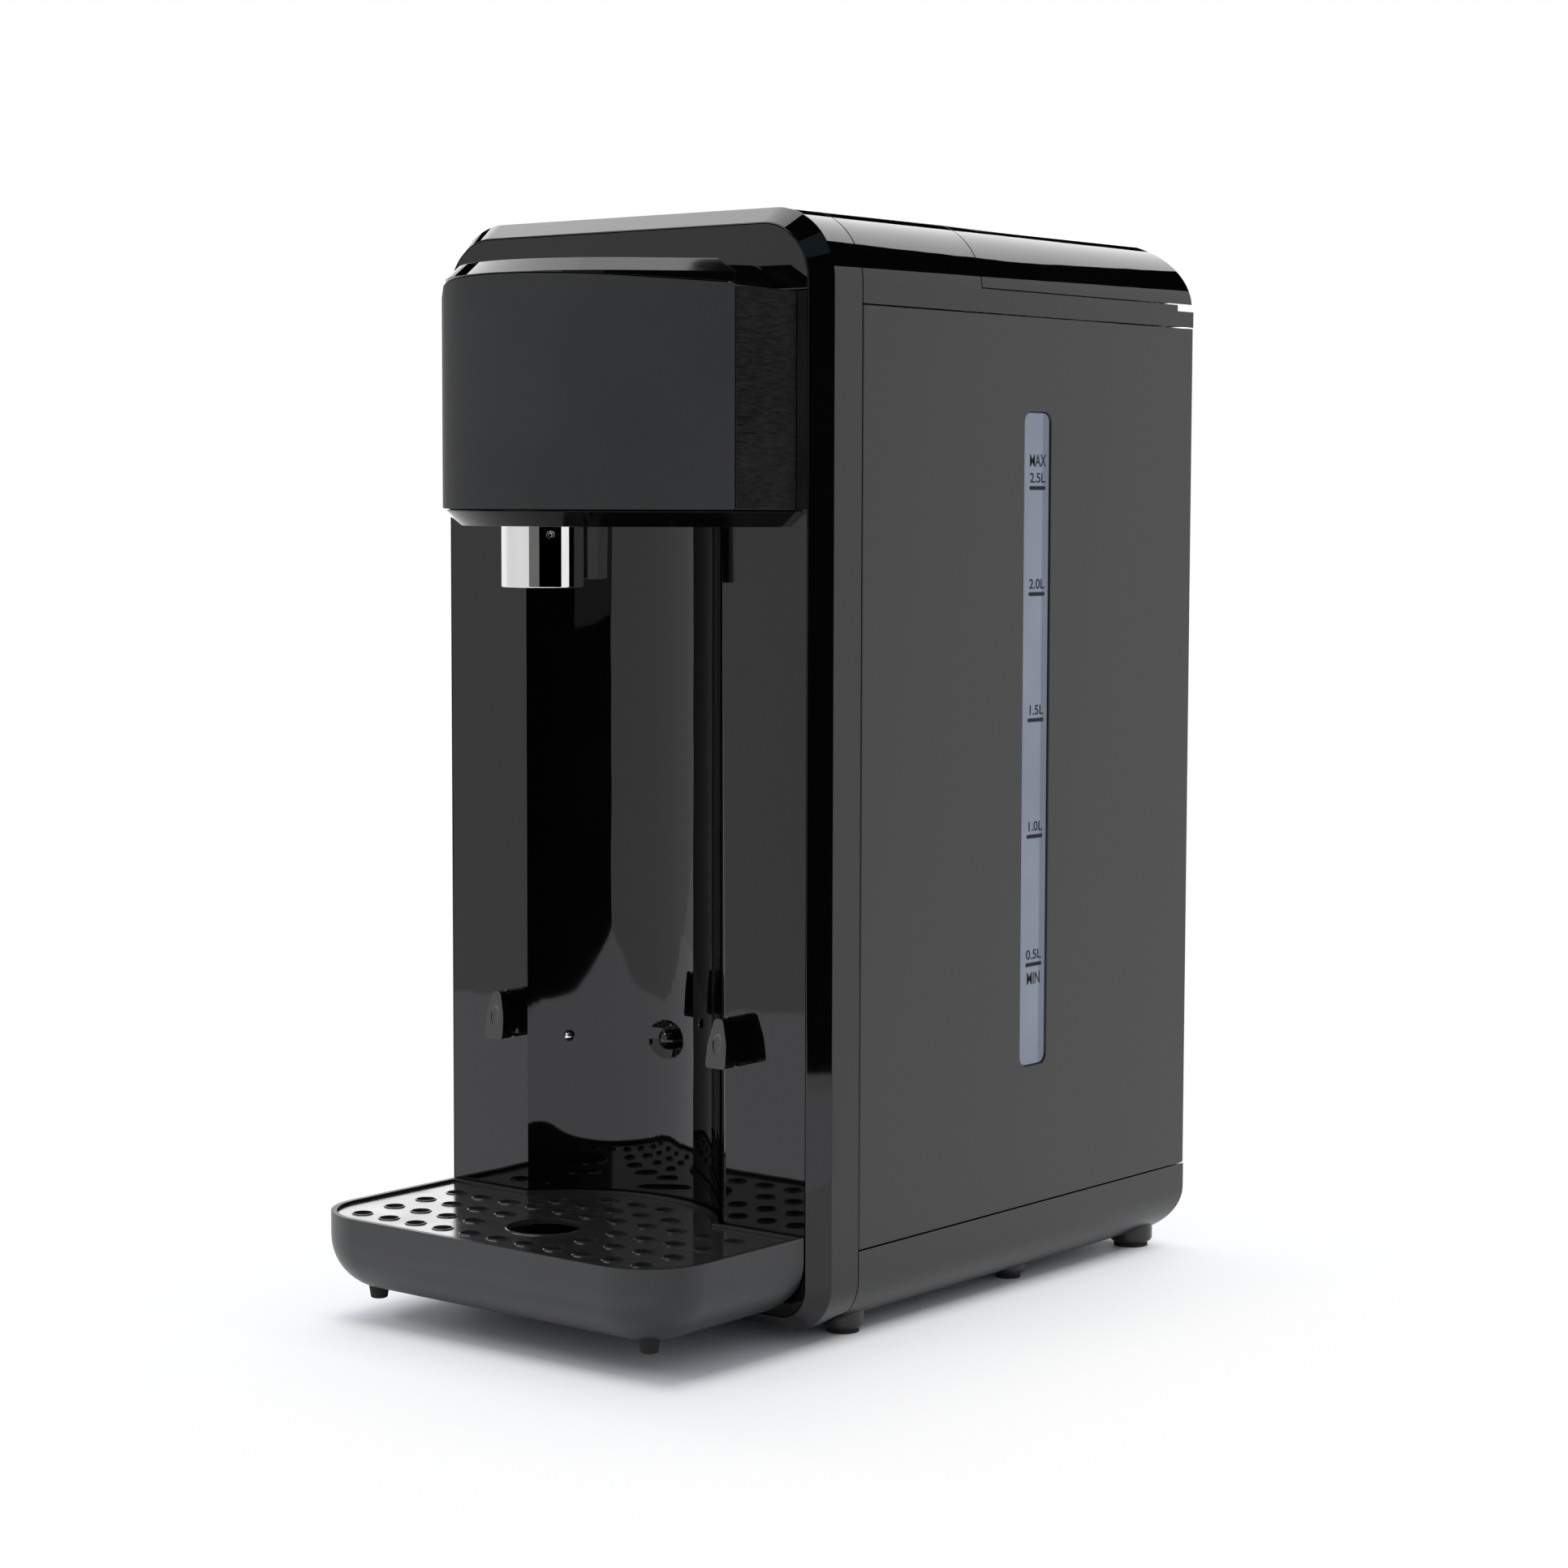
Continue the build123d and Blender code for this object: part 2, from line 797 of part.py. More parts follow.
def control_panel():
    half = control_half_width
    cover_underside = body_height - cover_wall
    plate = block(-half, half, control_front, control_rear, cover_underside, body_height)
    plate += block(
        -half - control_flange,
        half + control_flange,
        control_front - control_flange,
        control_rear + control_flange,
        control_underside,
        cover_underside,
    )
    for x in (-control_post_x, control_post_x):
        for y in (control_front + standoff_radius, control_rear - standoff_radius):
            plate += upright(standoff_radius, x, y, board_top, control_underside)
    for x in button_spots:
        plate -= upright(button_radius + button_gap, x, button_y, 0, body_height)
    return plate


def button(x):
    flange_top = control_underside - fit_gap
    flange_bottom = flange_top - button_flange_height
    cap = upright(button_radius, x, button_y, flange_top, body_height)
    cap = fillet(cap.edges().group_by(Axis.Z)[-1], edge_break)
    cap += upright(button_radius + button_flange, x, button_y, flange_bottom, flange_top)
    return cap + upright(button_stem_radius, x, button_y, button_stem_end, flange_bottom)


def control_board():
    half = control_post_x + standoff_radius
    z0 = board_top - board_thickness
    return block(-half, half, control_front, control_rear, z0, board_top)


def control_switches():
    switches = []
    half = switch_size / 2
    for x in button_spots:
        case = block(
            x - half, x + half, button_y - half, button_y + half, board_top, board_top + switch_height
        )
        switches.append(case)
    return switches


def head_face(inset, y0, y1):
    # Plan view of the head between two depths: round nose, straight flanks, then the side walls.
    angle = math.radians(nose_angle)
    radius = nose_radius - inset
    tip = (0, nose_centre_y - radius)
    turn = (radius * math.sin(angle), nose_centre_y - radius * math.cos(angle))
    seam = (
        turn[0] + flank_length * math.cos(angle),
        turn[1] + flank_length * math.sin(angle),
    )
    root = (root_half_width - inset, 0)
    points = [turn, seam, root]
    edges = ThreePointArc((-turn[0], turn[1]), tip, turn)
    edges += Polyline(*points, (-root[0], 0), (-seam[0], seam[1]), (-turn[0], turn[1]))
    window = Pos(0, (y0 + y1) / 2) * Rectangle(far, y1 - y0)
    return make_face(edges) & window


def head_run(inset, y0, y1, z0, z1):
    return extrude(Pos(0, 0, z0) * head_face(inset, y0, y1), amount=z1 - z0)


def below_slope(drop):
    front = -2 * head_reach
    high = plate_top - drop + plate_slope * head_reach
    low = plate_top - drop - plate_slope * head_reach
    return side_profile([(front, 0), (0, 0), (0, low), (front, high)])


def head_front_plate():
    limit = seam_y - seam_gap
    plate = head_run(0, -far, limit, plate_bottom, head_top)
    plate -= head_run(skin, -far, limit, plate_bottom, head_top)
    return plate & below_slope(0)


def head_body():
    inner = skin + fit_gap
    body = head_run(0, seam_y, 0, plate_bottom, head_top)
    body += head_run(inner, -far, seam_y, plate_bottom, head_top)
    body &= below_slope(core_drop)
    body -= head_run(inner + cap_wall, -far, -cap_wall, plate_bottom, head_top)
    boss = head_screw(screw_boss_radius, -head_screw_length - skin, -cap_wall)
    body += both_sides(boss)
    body -= both_sides(head_screw(screw_radius, -head_screw_length, 0))
    return body - along_y(pipe_radius + fit_gap, 0, pipe_height, -cap_wall, 0)


def head_screws():
    y1 = panel_wall + screw_head_height
    screw = head_screw(screw_radius, panel_wall - head_screw_length, panel_wall)
    return pair(screw + head_screw(screw_head_radius, panel_wall, y1))


def head_top_cap():
    low = plate_top - 2 * cap_overlap
    front = head_run(cap_inset, -far, seam_y, low, head_top)
    front = fillet(front.edges().group_by(Axis.Z)[-1], cap_radius)
    root = head_run(cap_inset, seam_y - cap_overlap, 0, low, head_top - cap_root_drop)
    top_edges = root.edges().group_by(Axis.Z)[-1]
    brow = top_edges.filter_by(lambda edge: abs(edge.center().X) > cap_overlap)
    root = fillet(brow, cap_root_radius)
    return front + root - below_slope(-seam_gap)


def head_bottom_cap():
    top = plate_bottom - seam_gap
    cap = head_run(cap_inset, -far, 0, head_bottom, top)
    rim = cap.edges().group_by(Axis.Z)[0].filter_by(lambda edge: edge.center().Y < -skin)
    cap = fillet(rim, bottom_radius)
    cap -= head_run(cap_wall + bottom_radius, -far, -cap_wall, head_bottom + cap_wall, top)
    collar_top = head_bottom + spout_depth
    cap += upright(spout_radius + spout_collar, 0, spout_y, head_bottom, collar_top)
    return cap - upright(spout_radius + fit_gap, 0, spout_y, head_bottom, collar_top)


def spout_screw(radius):
    # Square to the spout's wall, just below the head.
    length = spout_wall + edge_break
    screw = along_y(radius, 0, head_bottom - spout_screw_drop, -spout_radius, length - spout_radius)
    return Pos(0, spout_y, 0) * Rot(0, 0, spout_screw_azimuth) * screw


def spout():
    top = head_bottom + spout_depth
    tube = upright(spout_radius, 0, spout_y, spout_bottom, top)
    tube += upright(spout_radius + spout_collar, 0, spout_y, top, top + spout_flange)
    tube -= upright(spout_radius - spout_wall, 0, spout_y, spout_bottom, top + spout_flange)
    return tube - spout_screw(spout_screw_radius)


def spout_grub_screw():
    bore = upright(spout_radius, 0, spout_y, spout_bottom, head_bottom)
    return spout_screw(spout_screw_radius) & bore


def spout_outlet_disc():
    z0 = spout_bottom + spout_disc_recess
    z1 = z0 + spout_disc_thickness
    disc = upright(spout_radius - spout_wall, 0, spout_y, z0, z1)
    disc -= upright(spout_disc_hole, 0, spout_y, z0, z1)
    for place in PolarLocations(spout_disc_pitch, spout_disc_holes):
        disc -= Pos(0, spout_y, (z0 + z1) / 2) * place * Cylinder(spout_disc_hole, z1 - z0)
    return disc


def peg_lobe(inset, y0, y1):
    low = peg_width / 2 - inset
    high = peg_top_width / 2 - inset
    reach = peg_height / 2 - inset
    corners = [(-low, -reach), (low, -reach), (high, reach), (-high, reach)]
    face = make_face(Polyline(*corners, close=True))
    face = fillet(face.vertices(), peg_rounding)
    lobe = extrude(Plane.XZ * Pos(peg_x, peg_z) * face, amount=y1 - y0)
    return Pos(0, y1, 0) * lobe


def wall_pegs():
    groove_rear, groove_front = peg_groove
    peg = peg_lobe(0, -peg_reach, -groove_front)
    peg += peg_lobe(peg_neck, -groove_front, -groove_rear)
    peg += peg_lobe(0, -groove_rear, 0)
    return pair(peg + along_y(stud_radius, peg_x, peg_z, 0, panel_wall))


def wall_studs():
    ball = Pos(0, bay_radius - stud_radius / 2, stud_z) * Sphere(stud_radius)
    stud = stud_place() * ball & upright(bay_radius, 0, bay_centre_y, 0, far)
    return pair(stud + stud_shank(0))


def cup_sensor():
    dome = Pos(0, bay_depth - sensor_reach + sensor_radius, sensor_z) * Sphere(sensor_radius)
    dome &= upright(bay_radius, 0, bay_centre_y, 0, far)
    return dome + along_y(sensor_stem, 0, sensor_z, bay_depth - skin, bay_depth + panel_wall)


def tray_run(inset, z0, z1):
    # The part of the tray in front of the panel.
    rear = -tray_panel_gap - inset
    front = inset - tray_front
    face = Pos(0, (front + rear) / 2) * Rectangle(2 * (tray_half_width - inset), rear - front)
    face = fillet(face.vertices().group_by(Axis.Y)[0], tray_corner_radius - inset)
    return extrude(Pos(0, 0, z0) * face, amount=z1 - z0)


def tray_lobe(inset, z0, z1):
    # The part of the tray that reaches into the cup bay.
    round_end = upright(bay_radius - tray_bay_gap - inset, 0, bay_centre_y, z0, z1)
    return round_end & block(-far, far, -tray_panel_gap - tray_edge_radius, far, z0, z1)


def tray_shell(inset, floor, z1):
    shell = tray_run(inset, floor, z1)
    rim = shell.edges().group_by(Axis.Z)[0].filter_by(lambda edge: edge.center().Y < -tray_edge_radius)
    shell = fillet(rim, tray_edge_radius - inset)
    rear = -tray_panel_gap - inset
    face = Rectangle(far, far)
    face = fillet(face.vertices().group_by(Axis.X)[-1].sort_by(Axis.Y)[0], tray_rear_radius - inset)
    profile = Plane.YZ * Pos(rear - far / 2, floor + far / 2) * face
    shell &= extrude(profile, amount=far, both=True)
    return shell + tray_lobe(inset, lobe_bottom + floor - tray_bottom, z1)


def drip_tray():
    tray = tray_shell(0, tray_bottom, tray_rim)
    cavity = tray_shell(tray_wall + tray_ledge, tray_bottom + tray_floor, tray_rim)
    seat = tray_run(tray_wall, grille_bottom, tray_rim)
    seat += tray_lobe(tray_wall, grille_bottom, tray_rim)
    tray += both_sides(tongue(0, -tray_wall, tongue_length))
    tray -= cavity + seat
    for x in (-tray_foot_x, tray_foot_x):
        tray -= upright(tray_foot_radius, x, tray_foot_y, 0, tray_bottom + tray_foot_seat)
    return tray


def tray_feet():
    top = tray_bottom + tray_foot_seat
    return pair(upright(tray_foot_radius, tray_foot_x, tray_foot_y, tray_foot_bottom, top))


def grille_holes():
    spots = []
    half = (front_hole_columns - 1) / 2
    for row in range(front_hole_rows):
        y = front_hole_row + row * hole_pitch_y
        for column in range(front_hole_columns):
            x = (column - half) * hole_pitch_x
            if math.hypot(x, y - spout_y) > drain_radius + grille_hole_radius:
                spots.append((x, y))
    y = front_hole_row + (front_hole_rows - 1) * hole_pitch_y
    for count in lobe_hole_columns:
        y += lobe_hole_pitch
        for column in range(count):
            spots.append(((column - (count - 1) / 2) * hole_pitch_x, y))
    return spots


def drip_grille():
    inset = tray_wall + grille_gap
    plate = tray_run(inset, grille_bottom, grille_top)
    plate += tray_lobe(inset, grille_bottom, grille_top)
    holes = [upright(grille_hole_radius, x, y, grille_bottom, grille_top) for x, y in grille_holes()]
    holes.append(upright(drain_radius, 0, spout_y, grille_bottom, grille_top))
    return plate - holes


def power_inlet():
    case = fitting_box(inlet_x, inlet_width, inlet_height, 0)
    rear = body_depth - side_wall
    flange = fitting_box(inlet_x, inlet_width, inlet_height, control_flange)
    case += flange & block(-far, far, rear - side_wall, rear, 0, far)
    mouth = fitting_box(inlet_x, inlet_width - 2 * inlet_wall, inlet_height - 2 * inlet_wall, 0)
    case -= Pos(0, inlet_wall, 0) * mouth
    return case - inlet_pins()


def inlet_pins():
    width, height, length = pin_blade
    y0 = body_depth - inlet_depth
    y1 = y0 + inlet_wall + length
    pins = []
    for x, z in inlet_pin_spots:
        pins.append(
            block(
                inlet_x + x - width / 2,
                inlet_x + x + width / 2,
                y0,
                y1,
                rear_fitting_z + z - height / 2,
                rear_fitting_z + z + height / 2,
            )
        )
    return pins


def switch_housing():
    case = fitting_box(rocker_x, switch_width, switch_box_height, 0)
    rear = body_depth - side_wall
    flange = fitting_box(rocker_x, switch_width, switch_box_height, control_flange)
    case += flange & block(-far, far, rear - side_wall, rear, 0, far)
    half = rocker_width / 2 + rocker_gap
    reach = rocker_radius + rocker_gap
    z0 = rear_fitting_z - reach
    z1 = rear_fitting_z + reach
    case -= along_x(reach, rocker_y, rear_fitting_z, rocker_x - half, rocker_x + half)
    case -= block(rocker_x - half, rocker_x + half, rocker_y, body_depth, z0, z1)
    return case - rocker_pivot(pin_radius + pin_gap, 0)


def rocker_pivot(radius, short):
    half = rocker_width / 2 + rocker_gap + switch_wall / 2 - short
    return along_x(radius, rocker_y, rear_fitting_z, rocker_x - half, rocker_x + half)


def power_rocker():
    half = rocker_width / 2
    rocker = along_x(rocker_radius, rocker_y, rear_fitting_z, rocker_x - half, rocker_x + half)
    lift = far * math.tan(math.radians(rocker_swing))
    outline = [
        (rocker_y - far, rear_fitting_z - far),
        (rocker_y + lift, rear_fitting_z - far),
        (rocker_y, rear_fitting_z),
        (rocker_y + lift, rear_fitting_z + far),
        (rocker_y - far, rear_fitting_z + far),
    ]
    rocker &= side_profile(outline)
    rocker += rocker_pivot(pin_radius, fit_gap)
    turned = Pos(0, rocker_y, rear_fitting_z) * Rot(rocker_swing, 0, 0)
    return turned * Pos(0, -rocker_y, -rear_fitting_z) * rocker


def save(name, shape):
    if isinstance(shape, list):
        shape = Compound(shape)
    shift = (tray_front - body_depth) / 2
    export_step(Pos(0, shift, 0) * shape, f"parts/{name}.step")


save("front_frame", front_frame())
save("front_panel", front_panel())
save("side_panel_right", side_panel_right())
save("side_panel_left", side_panel_left())
save("rear_panel", rear_panel())
save("base_shell", base_shell())
save("foot_pads", foot_pads())
save("base_screws", base_screws())
save("top_collar", top_collar())
save("level_window", level_window())
save("water_tank", water_tank())
save("tank_strainer", tank_strainer())
save("tank_lid", tank_lid())
save("lid_hinge_pins", lid_hinge_pins())
save("chassis", chassis())
save("pump", pump())
save("pump_saddles", pump_saddles())
save("suction_hose", suction_hose())
save("delivery_hose", delivery_hose())
save("heater", heater())
save("heater_clamps", heater_clamps())
save("thermal_cutout", thermal_cutout())
save("spout_pipe", spout_pipe())
save("power_board", power_board())
save("board_standoffs", board_standoffs())
save("board_components", board_components())
save("control_panel", control_panel())
save("control_board", control_board())
save("control_switches", control_switches())
save("button_left", button(button_spots[0]))
save("button_middle", button(button_spots[1]))
save("button_right", button(button_spots[2]))
save("head_body", head_body())
save("head_front_plate", head_front_plate())
save("head_top_cap", head_top_cap())
save("head_bottom_cap", head_bottom_cap())
save("head_screws", head_screws())
save("spout", spout())
save("spout_grub_screw", spout_grub_screw())
save("spout_outlet_disc", spout_outlet_disc())
save("wall_pegs", wall_pegs())
save("wall_studs", wall_studs())
save("cup_sensor", cup_sensor())
save("drip_tray", drip_tray())
save("tray_feet", tray_feet())
save("drip_grille", drip_grille())
save("power_inlet", power_inlet())
save("inlet_pins", inlet_pins())
save("switch_housing", switch_housing())
save("power_rocker", power_rocker())
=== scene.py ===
import json
import math

import bmesh
import bpy
from mathutils import Matrix, Quaternion, Vector


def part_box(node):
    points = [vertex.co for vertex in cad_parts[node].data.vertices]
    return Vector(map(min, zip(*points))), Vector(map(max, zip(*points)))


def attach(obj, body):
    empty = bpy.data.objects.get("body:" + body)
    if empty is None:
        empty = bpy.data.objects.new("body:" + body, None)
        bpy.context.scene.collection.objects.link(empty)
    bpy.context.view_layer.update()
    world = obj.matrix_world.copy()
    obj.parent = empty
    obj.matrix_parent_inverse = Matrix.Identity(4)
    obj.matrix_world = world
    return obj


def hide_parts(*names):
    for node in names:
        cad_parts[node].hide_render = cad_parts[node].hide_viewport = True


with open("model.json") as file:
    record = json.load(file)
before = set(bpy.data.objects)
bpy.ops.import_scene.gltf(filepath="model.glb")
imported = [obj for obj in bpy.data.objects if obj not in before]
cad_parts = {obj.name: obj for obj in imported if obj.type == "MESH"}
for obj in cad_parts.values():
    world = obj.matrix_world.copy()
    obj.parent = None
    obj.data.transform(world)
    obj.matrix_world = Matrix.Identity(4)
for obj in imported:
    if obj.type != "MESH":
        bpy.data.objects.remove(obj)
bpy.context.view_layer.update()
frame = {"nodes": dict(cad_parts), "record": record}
slotOf = {part["node"]: part["material_slot"] for part in frame["record"]["subparts"]}

# Pieces are drawn in millimetres with y = 0 on the face of the front frame, then brought into the frame.
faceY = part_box("front_frame")[0].y
toFrame = Matrix.Translation((0, faceY, 0)) @ Matrix.Scale(0.001, 4)


def fromFrame(point):
    return toFrame.inverted() @ Vector(point)


def nodeBox(node):
    low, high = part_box(node)
    return fromFrame(low), fromFrame(high)


def addBlock(bm, low, high):
    made = bmesh.ops.create_cube(bm, size=1)["verts"]
    bmesh.ops.scale(bm, vec=[b - a for a, b in zip(low, high)], verts=made)
    bmesh.ops.translate(bm, vec=[(a + b) / 2 for a, b in zip(low, high)], verts=made)
    return made


def addRound(bm, radius, low, high, centre=(0, 0), axis="Z", sides=96, tip=None):
    # a cylinder or a cone between two heights along an axis
    middle = (low + high) / 2
    place = {"X": (middle, *centre), "Y": (centre[0], middle, centre[1]), "Z": (*centre, middle)}[axis]
    angle, about = {"X": (90, "Y"), "Y": (-90, "X"), "Z": (0, "X")}[axis]
    bmesh.ops.create_cone(
        bm,
        cap_ends=True,
        segments=sides,
        radius1=radius,
        radius2=radius if tip is None else tip,
        depth=high - low,
        matrix=Matrix.Translation(place) @ Matrix.Rotation(math.radians(angle), 4, about),
    )


def addBall(bm, radius, place, around=48, rings=32, stretch=(1, 1, 1), lean=0.0):
    # a ball, or an ellipsoid that leans about the X axis
    made = bmesh.ops.create_uvsphere(bm, u_segments=around, v_segments=rings, radius=radius)["verts"]
    bmesh.ops.scale(bm, vec=stretch, verts=made)
    bmesh.ops.rotate(bm, cent=(0, 0, 0), matrix=Matrix.Rotation(lean, 3, "X"), verts=made)
    bmesh.ops.translate(bm, vec=place, verts=made)


def edgesWhere(bm, test):
    return [e for e in bm.edges if test((e.verts[0].co + e.verts[1].co) / 2, e)]


def runsAlong(edge, axis):
    run = edge.verts[1].co - edge.verts[0].co
    return abs(run[axis]) > 0.999 * run.length


def roundEdges(bm, edges, radius, segments=10):
    bmesh.ops.bevel(
        bm,
        geom=edges,
        offset=radius,
        offset_type="OFFSET",
        affect="EDGES",
        segments=segments,
        profile=0.5,
        material=-1,
    )


def addChain(bm, points):
    verts = [bm.verts.new(p) for p in points]
    for a, b in zip(verts, verts[1:]):
        bm.edges.new((a, b))
    return verts


def spinChain(bm, points, centre, axis=(0, 0, 1), steps=96):
    # a profile turned all the way round; its ends stay a hair off the axis, and closeUp welds them
    verts = addChain(bm, points)
    bmesh.ops.spin(
        bm,
        geom=verts + list({e for v in verts for e in v.link_edges}),
        cent=centre,
        axis=axis,
        angle=math.tau,
        steps=steps,
        use_merge=True,
    )


def raiseFace(bm, face, vector):
    made = bmesh.ops.extrude_face_region(bm, geom=[face])["geom"]
    bmesh.ops.translate(bm, vec=vector, verts=[v for v in made if isinstance(v, bmesh.types.BMVert)])


def sliceOff(bm, place, normal, above=True):
    # what lies on one side of a plane goes, and the cut is filled
    made = bmesh.ops.bisect_plane(
        bm,
        geom=list(bm.verts) + list(bm.edges) + list(bm.faces),
        plane_co=place,
        plane_no=normal,
        clear_outer=above,
        clear_inner=not above,
    )
    rim = [e for e in made["geom_cut"] if isinstance(e, bmesh.types.BMEdge)]
    if rim:
        bmesh.ops.edgeloop_fill(bm, edges=rim)


def closeUp(bm, dist=0.0005):
    bmesh.ops.remove_doubles(bm, verts=bm.verts, dist=dist)
    bmesh.ops.recalc_face_normals(bm, faces=bm.faces)


def toObject(bm, name):
    mesh = bpy.data.meshes.new(name)
    bm.to_mesh(mesh)
    bm.free()
    made = bpy.data.objects.new(name, mesh)
    bpy.context.scene.collection.objects.link(made)
    return made


weld = {"doubles": 0.0008, "slivers": 0.0005}


def combine(target, tool, operation):
    # both bmeshes are used up, and the result is a new one
    a = toObject(target, "cutTarget")
    b = toObject(tool, "cutTool")
    step = a.modifiers.new("cut", "BOOLEAN")
    step.operation = operation
    step.solver = "EXACT"
    step.object = b
    bpy.context.view_layer.update()
    seen = a.evaluated_get(bpy.context.evaluated_depsgraph_get())
    made = bmesh.new()
    made.from_mesh(seen.data)
    for o in (a, b):
        mesh = o.data
        bpy.data.objects.remove(o)
        bpy.data.meshes.remove(mesh)
    bmesh.ops.remove_doubles(made, verts=made.verts, dist=weld["doubles"])
    bmesh.ops.dissolve_degenerate(made, dist=weld["slivers"], edges=made.edges)
    return made


def joinInto(bm, other):
    mesh = bpy.data.meshes.new("join")
    other.to_mesh(mesh)
    other.free()
    bm.from_mesh(mesh)
    bpy.data.meshes.remove(mesh)
    return bm


def finishPiece(bm, name, material, body="housing", edge=0.35, sharp=32):
    # edge is the width of the bevel in millimetres, and sharp the angle from which an edge gets it
    bmesh.ops.transform(bm, matrix=toFrame, verts=bm.verts)
    made = toObject(bm, name)
    made.data.materials.append(material)
    made.data.polygons.foreach_set("use_smooth", [True] * len(made.data.polygons))
    made.data.set_sharp_from_angle(angle=math.radians(sharp))
    if edge:
        bevel = made.modifiers.new("edges", "BEVEL")
        bevel.width = edge * 0.001
        bevel.segments = 3
        bevel.limit_method = "ANGLE"
        bevel.angle_limit = math.radians(sharp)
        weighted = made.modifiers.new("shading", "WEIGHTED_NORMAL")
        weighted.keep_sharp = True
    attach(made, body)
    return made


def replaceNode(bm, node, material=None, body="housing", edge=0.35, sharp=32):
    # the piece has the node's name in camel case, and its slot's material unless another is given
    first, *others = node.split("_")
    name = first + "".join(word.capitalize() for word in others)
    made = finishPiece(bm, name, material or slotMaterial[slotOf[node]], body, edge, sharp)
    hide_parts(node)


def setInputs(tree, node, inputs):
    # each input takes a value, or the output that feeds it
    for name, value in inputs.items():
        if isinstance(value, bpy.types.NodeSocket):
            tree.links.new(value, node.inputs[name])
        else:
            node.inputs[name].default_value = value


def addNode(tree, kind, inputs=None, **settings):
    made = tree.nodes.new("ShaderNode" + kind)
    for name, value in settings.items():
        setattr(made, name, value)
    setInputs(tree, made, inputs or {})
    return made


def newMaterial(name):
    material = bpy.data.materials.new(name)
    material.use_nodes = True
    return material, material.node_tree, material.node_tree.nodes["Principled BSDF"]


def pattern(tree, scale, stretch=(1, 1, 1), detail=2.0):
    coords = addNode(tree, "TexCoord")
    place = addNode(tree, "Mapping", {"Vector": coords.outputs["Object"], "Scale": stretch})
    inputs = {"Vector": place.outputs["Vector"], "Scale": scale, "Detail": detail, "Roughness": 0.55}
    return addNode(tree, "TexNoise", inputs).outputs["Fac"]


def spread(tree, source, low, high, start=0.3, end=0.7):
    inputs = {"Value": source, "From Min": start, "From Max": end, "To Min": low, "To Max": high}
    return addNode(tree, "MapRange", inputs).outputs["Result"]


def colourRamp(tree, source, stops):
    ramp = addNode(tree, "ValToRGB", {"Fac": source})
    made = ramp.color_ramp.elements
    while len(made) < len(stops):
        made.new(0.5)
    for stop, (place, colour) in zip(made, stops):
        stop.position = place
        stop.color = (*colour, 1)
    return ramp.outputs["Color"]


def twoTone(tree, source, dark, light):
    return colourRamp(tree, source, ((0.3, dark), (0.7, light)))


def relief(tree, source, strength, distance, before=None):
    inputs = {"Height": source, "Strength": strength, "Distance": distance}
    if before:
        inputs["Normal"] = before
    return addNode(tree, "Bump", inputs).outputs["Normal"]


def mouldedPlastic(
    name, dark, light, roughness, grain, grainDepth,
    mottle=40.0, stretch=(1, 1, 1), waveStrength=0.05, waveDepth=0.0002, specular=0.5,
):
    # moulded plastic: slow mottling in colour and sheen, with a fine grain on top
    material, tree, shader = newMaterial(name)
    slow = pattern(tree, mottle, stretch)
    wave = relief(tree, slow, waveStrength, waveDepth)
    setInputs(tree, shader, {
        "Base Color": twoTone(tree, slow, dark, light),
        "Roughness": spread(tree, slow, *roughness),
        "Normal": relief(tree, pattern(tree, grain), 0.35, grainDepth, wave),
        "Specular IOR Level": specular,
    })
    return material


def workedMetal(name, dark, light, roughness, scale, stretch, depth, metallic=1.0, specular=0.5):
    # brushed or polished metal: long scratches along one direction
    material, tree, shader = newMaterial(name)
    lines = pattern(tree, scale, stretch, detail=4.0)
    setInputs(tree, shader, {
        "Base Color": twoTone(tree, lines, dark, light),
        "Roughness": spread(tree, pattern(tree, 60.0), *roughness),
        "Normal": relief(tree, lines, 0.3, depth),
        "Metallic": metallic,
        "Specular IOR Level": specular,
    })
    return material


def clearPlastic(name, colour, roughness, alpha):
    # see-through moulding with a faint haze
    material, tree, shader = newMaterial(name)
    haze = pattern(tree, 70.0)
    setInputs(tree, shader, {
        "Base Color": twoTone(tree, haze, tuple(c * 0.93 for c in colour), colour),
        "Roughness": spread(tree, haze, roughness * 0.8, roughness * 1.3),
        "Alpha": alpha,
        "IOR": 1.49,
    })
    return material


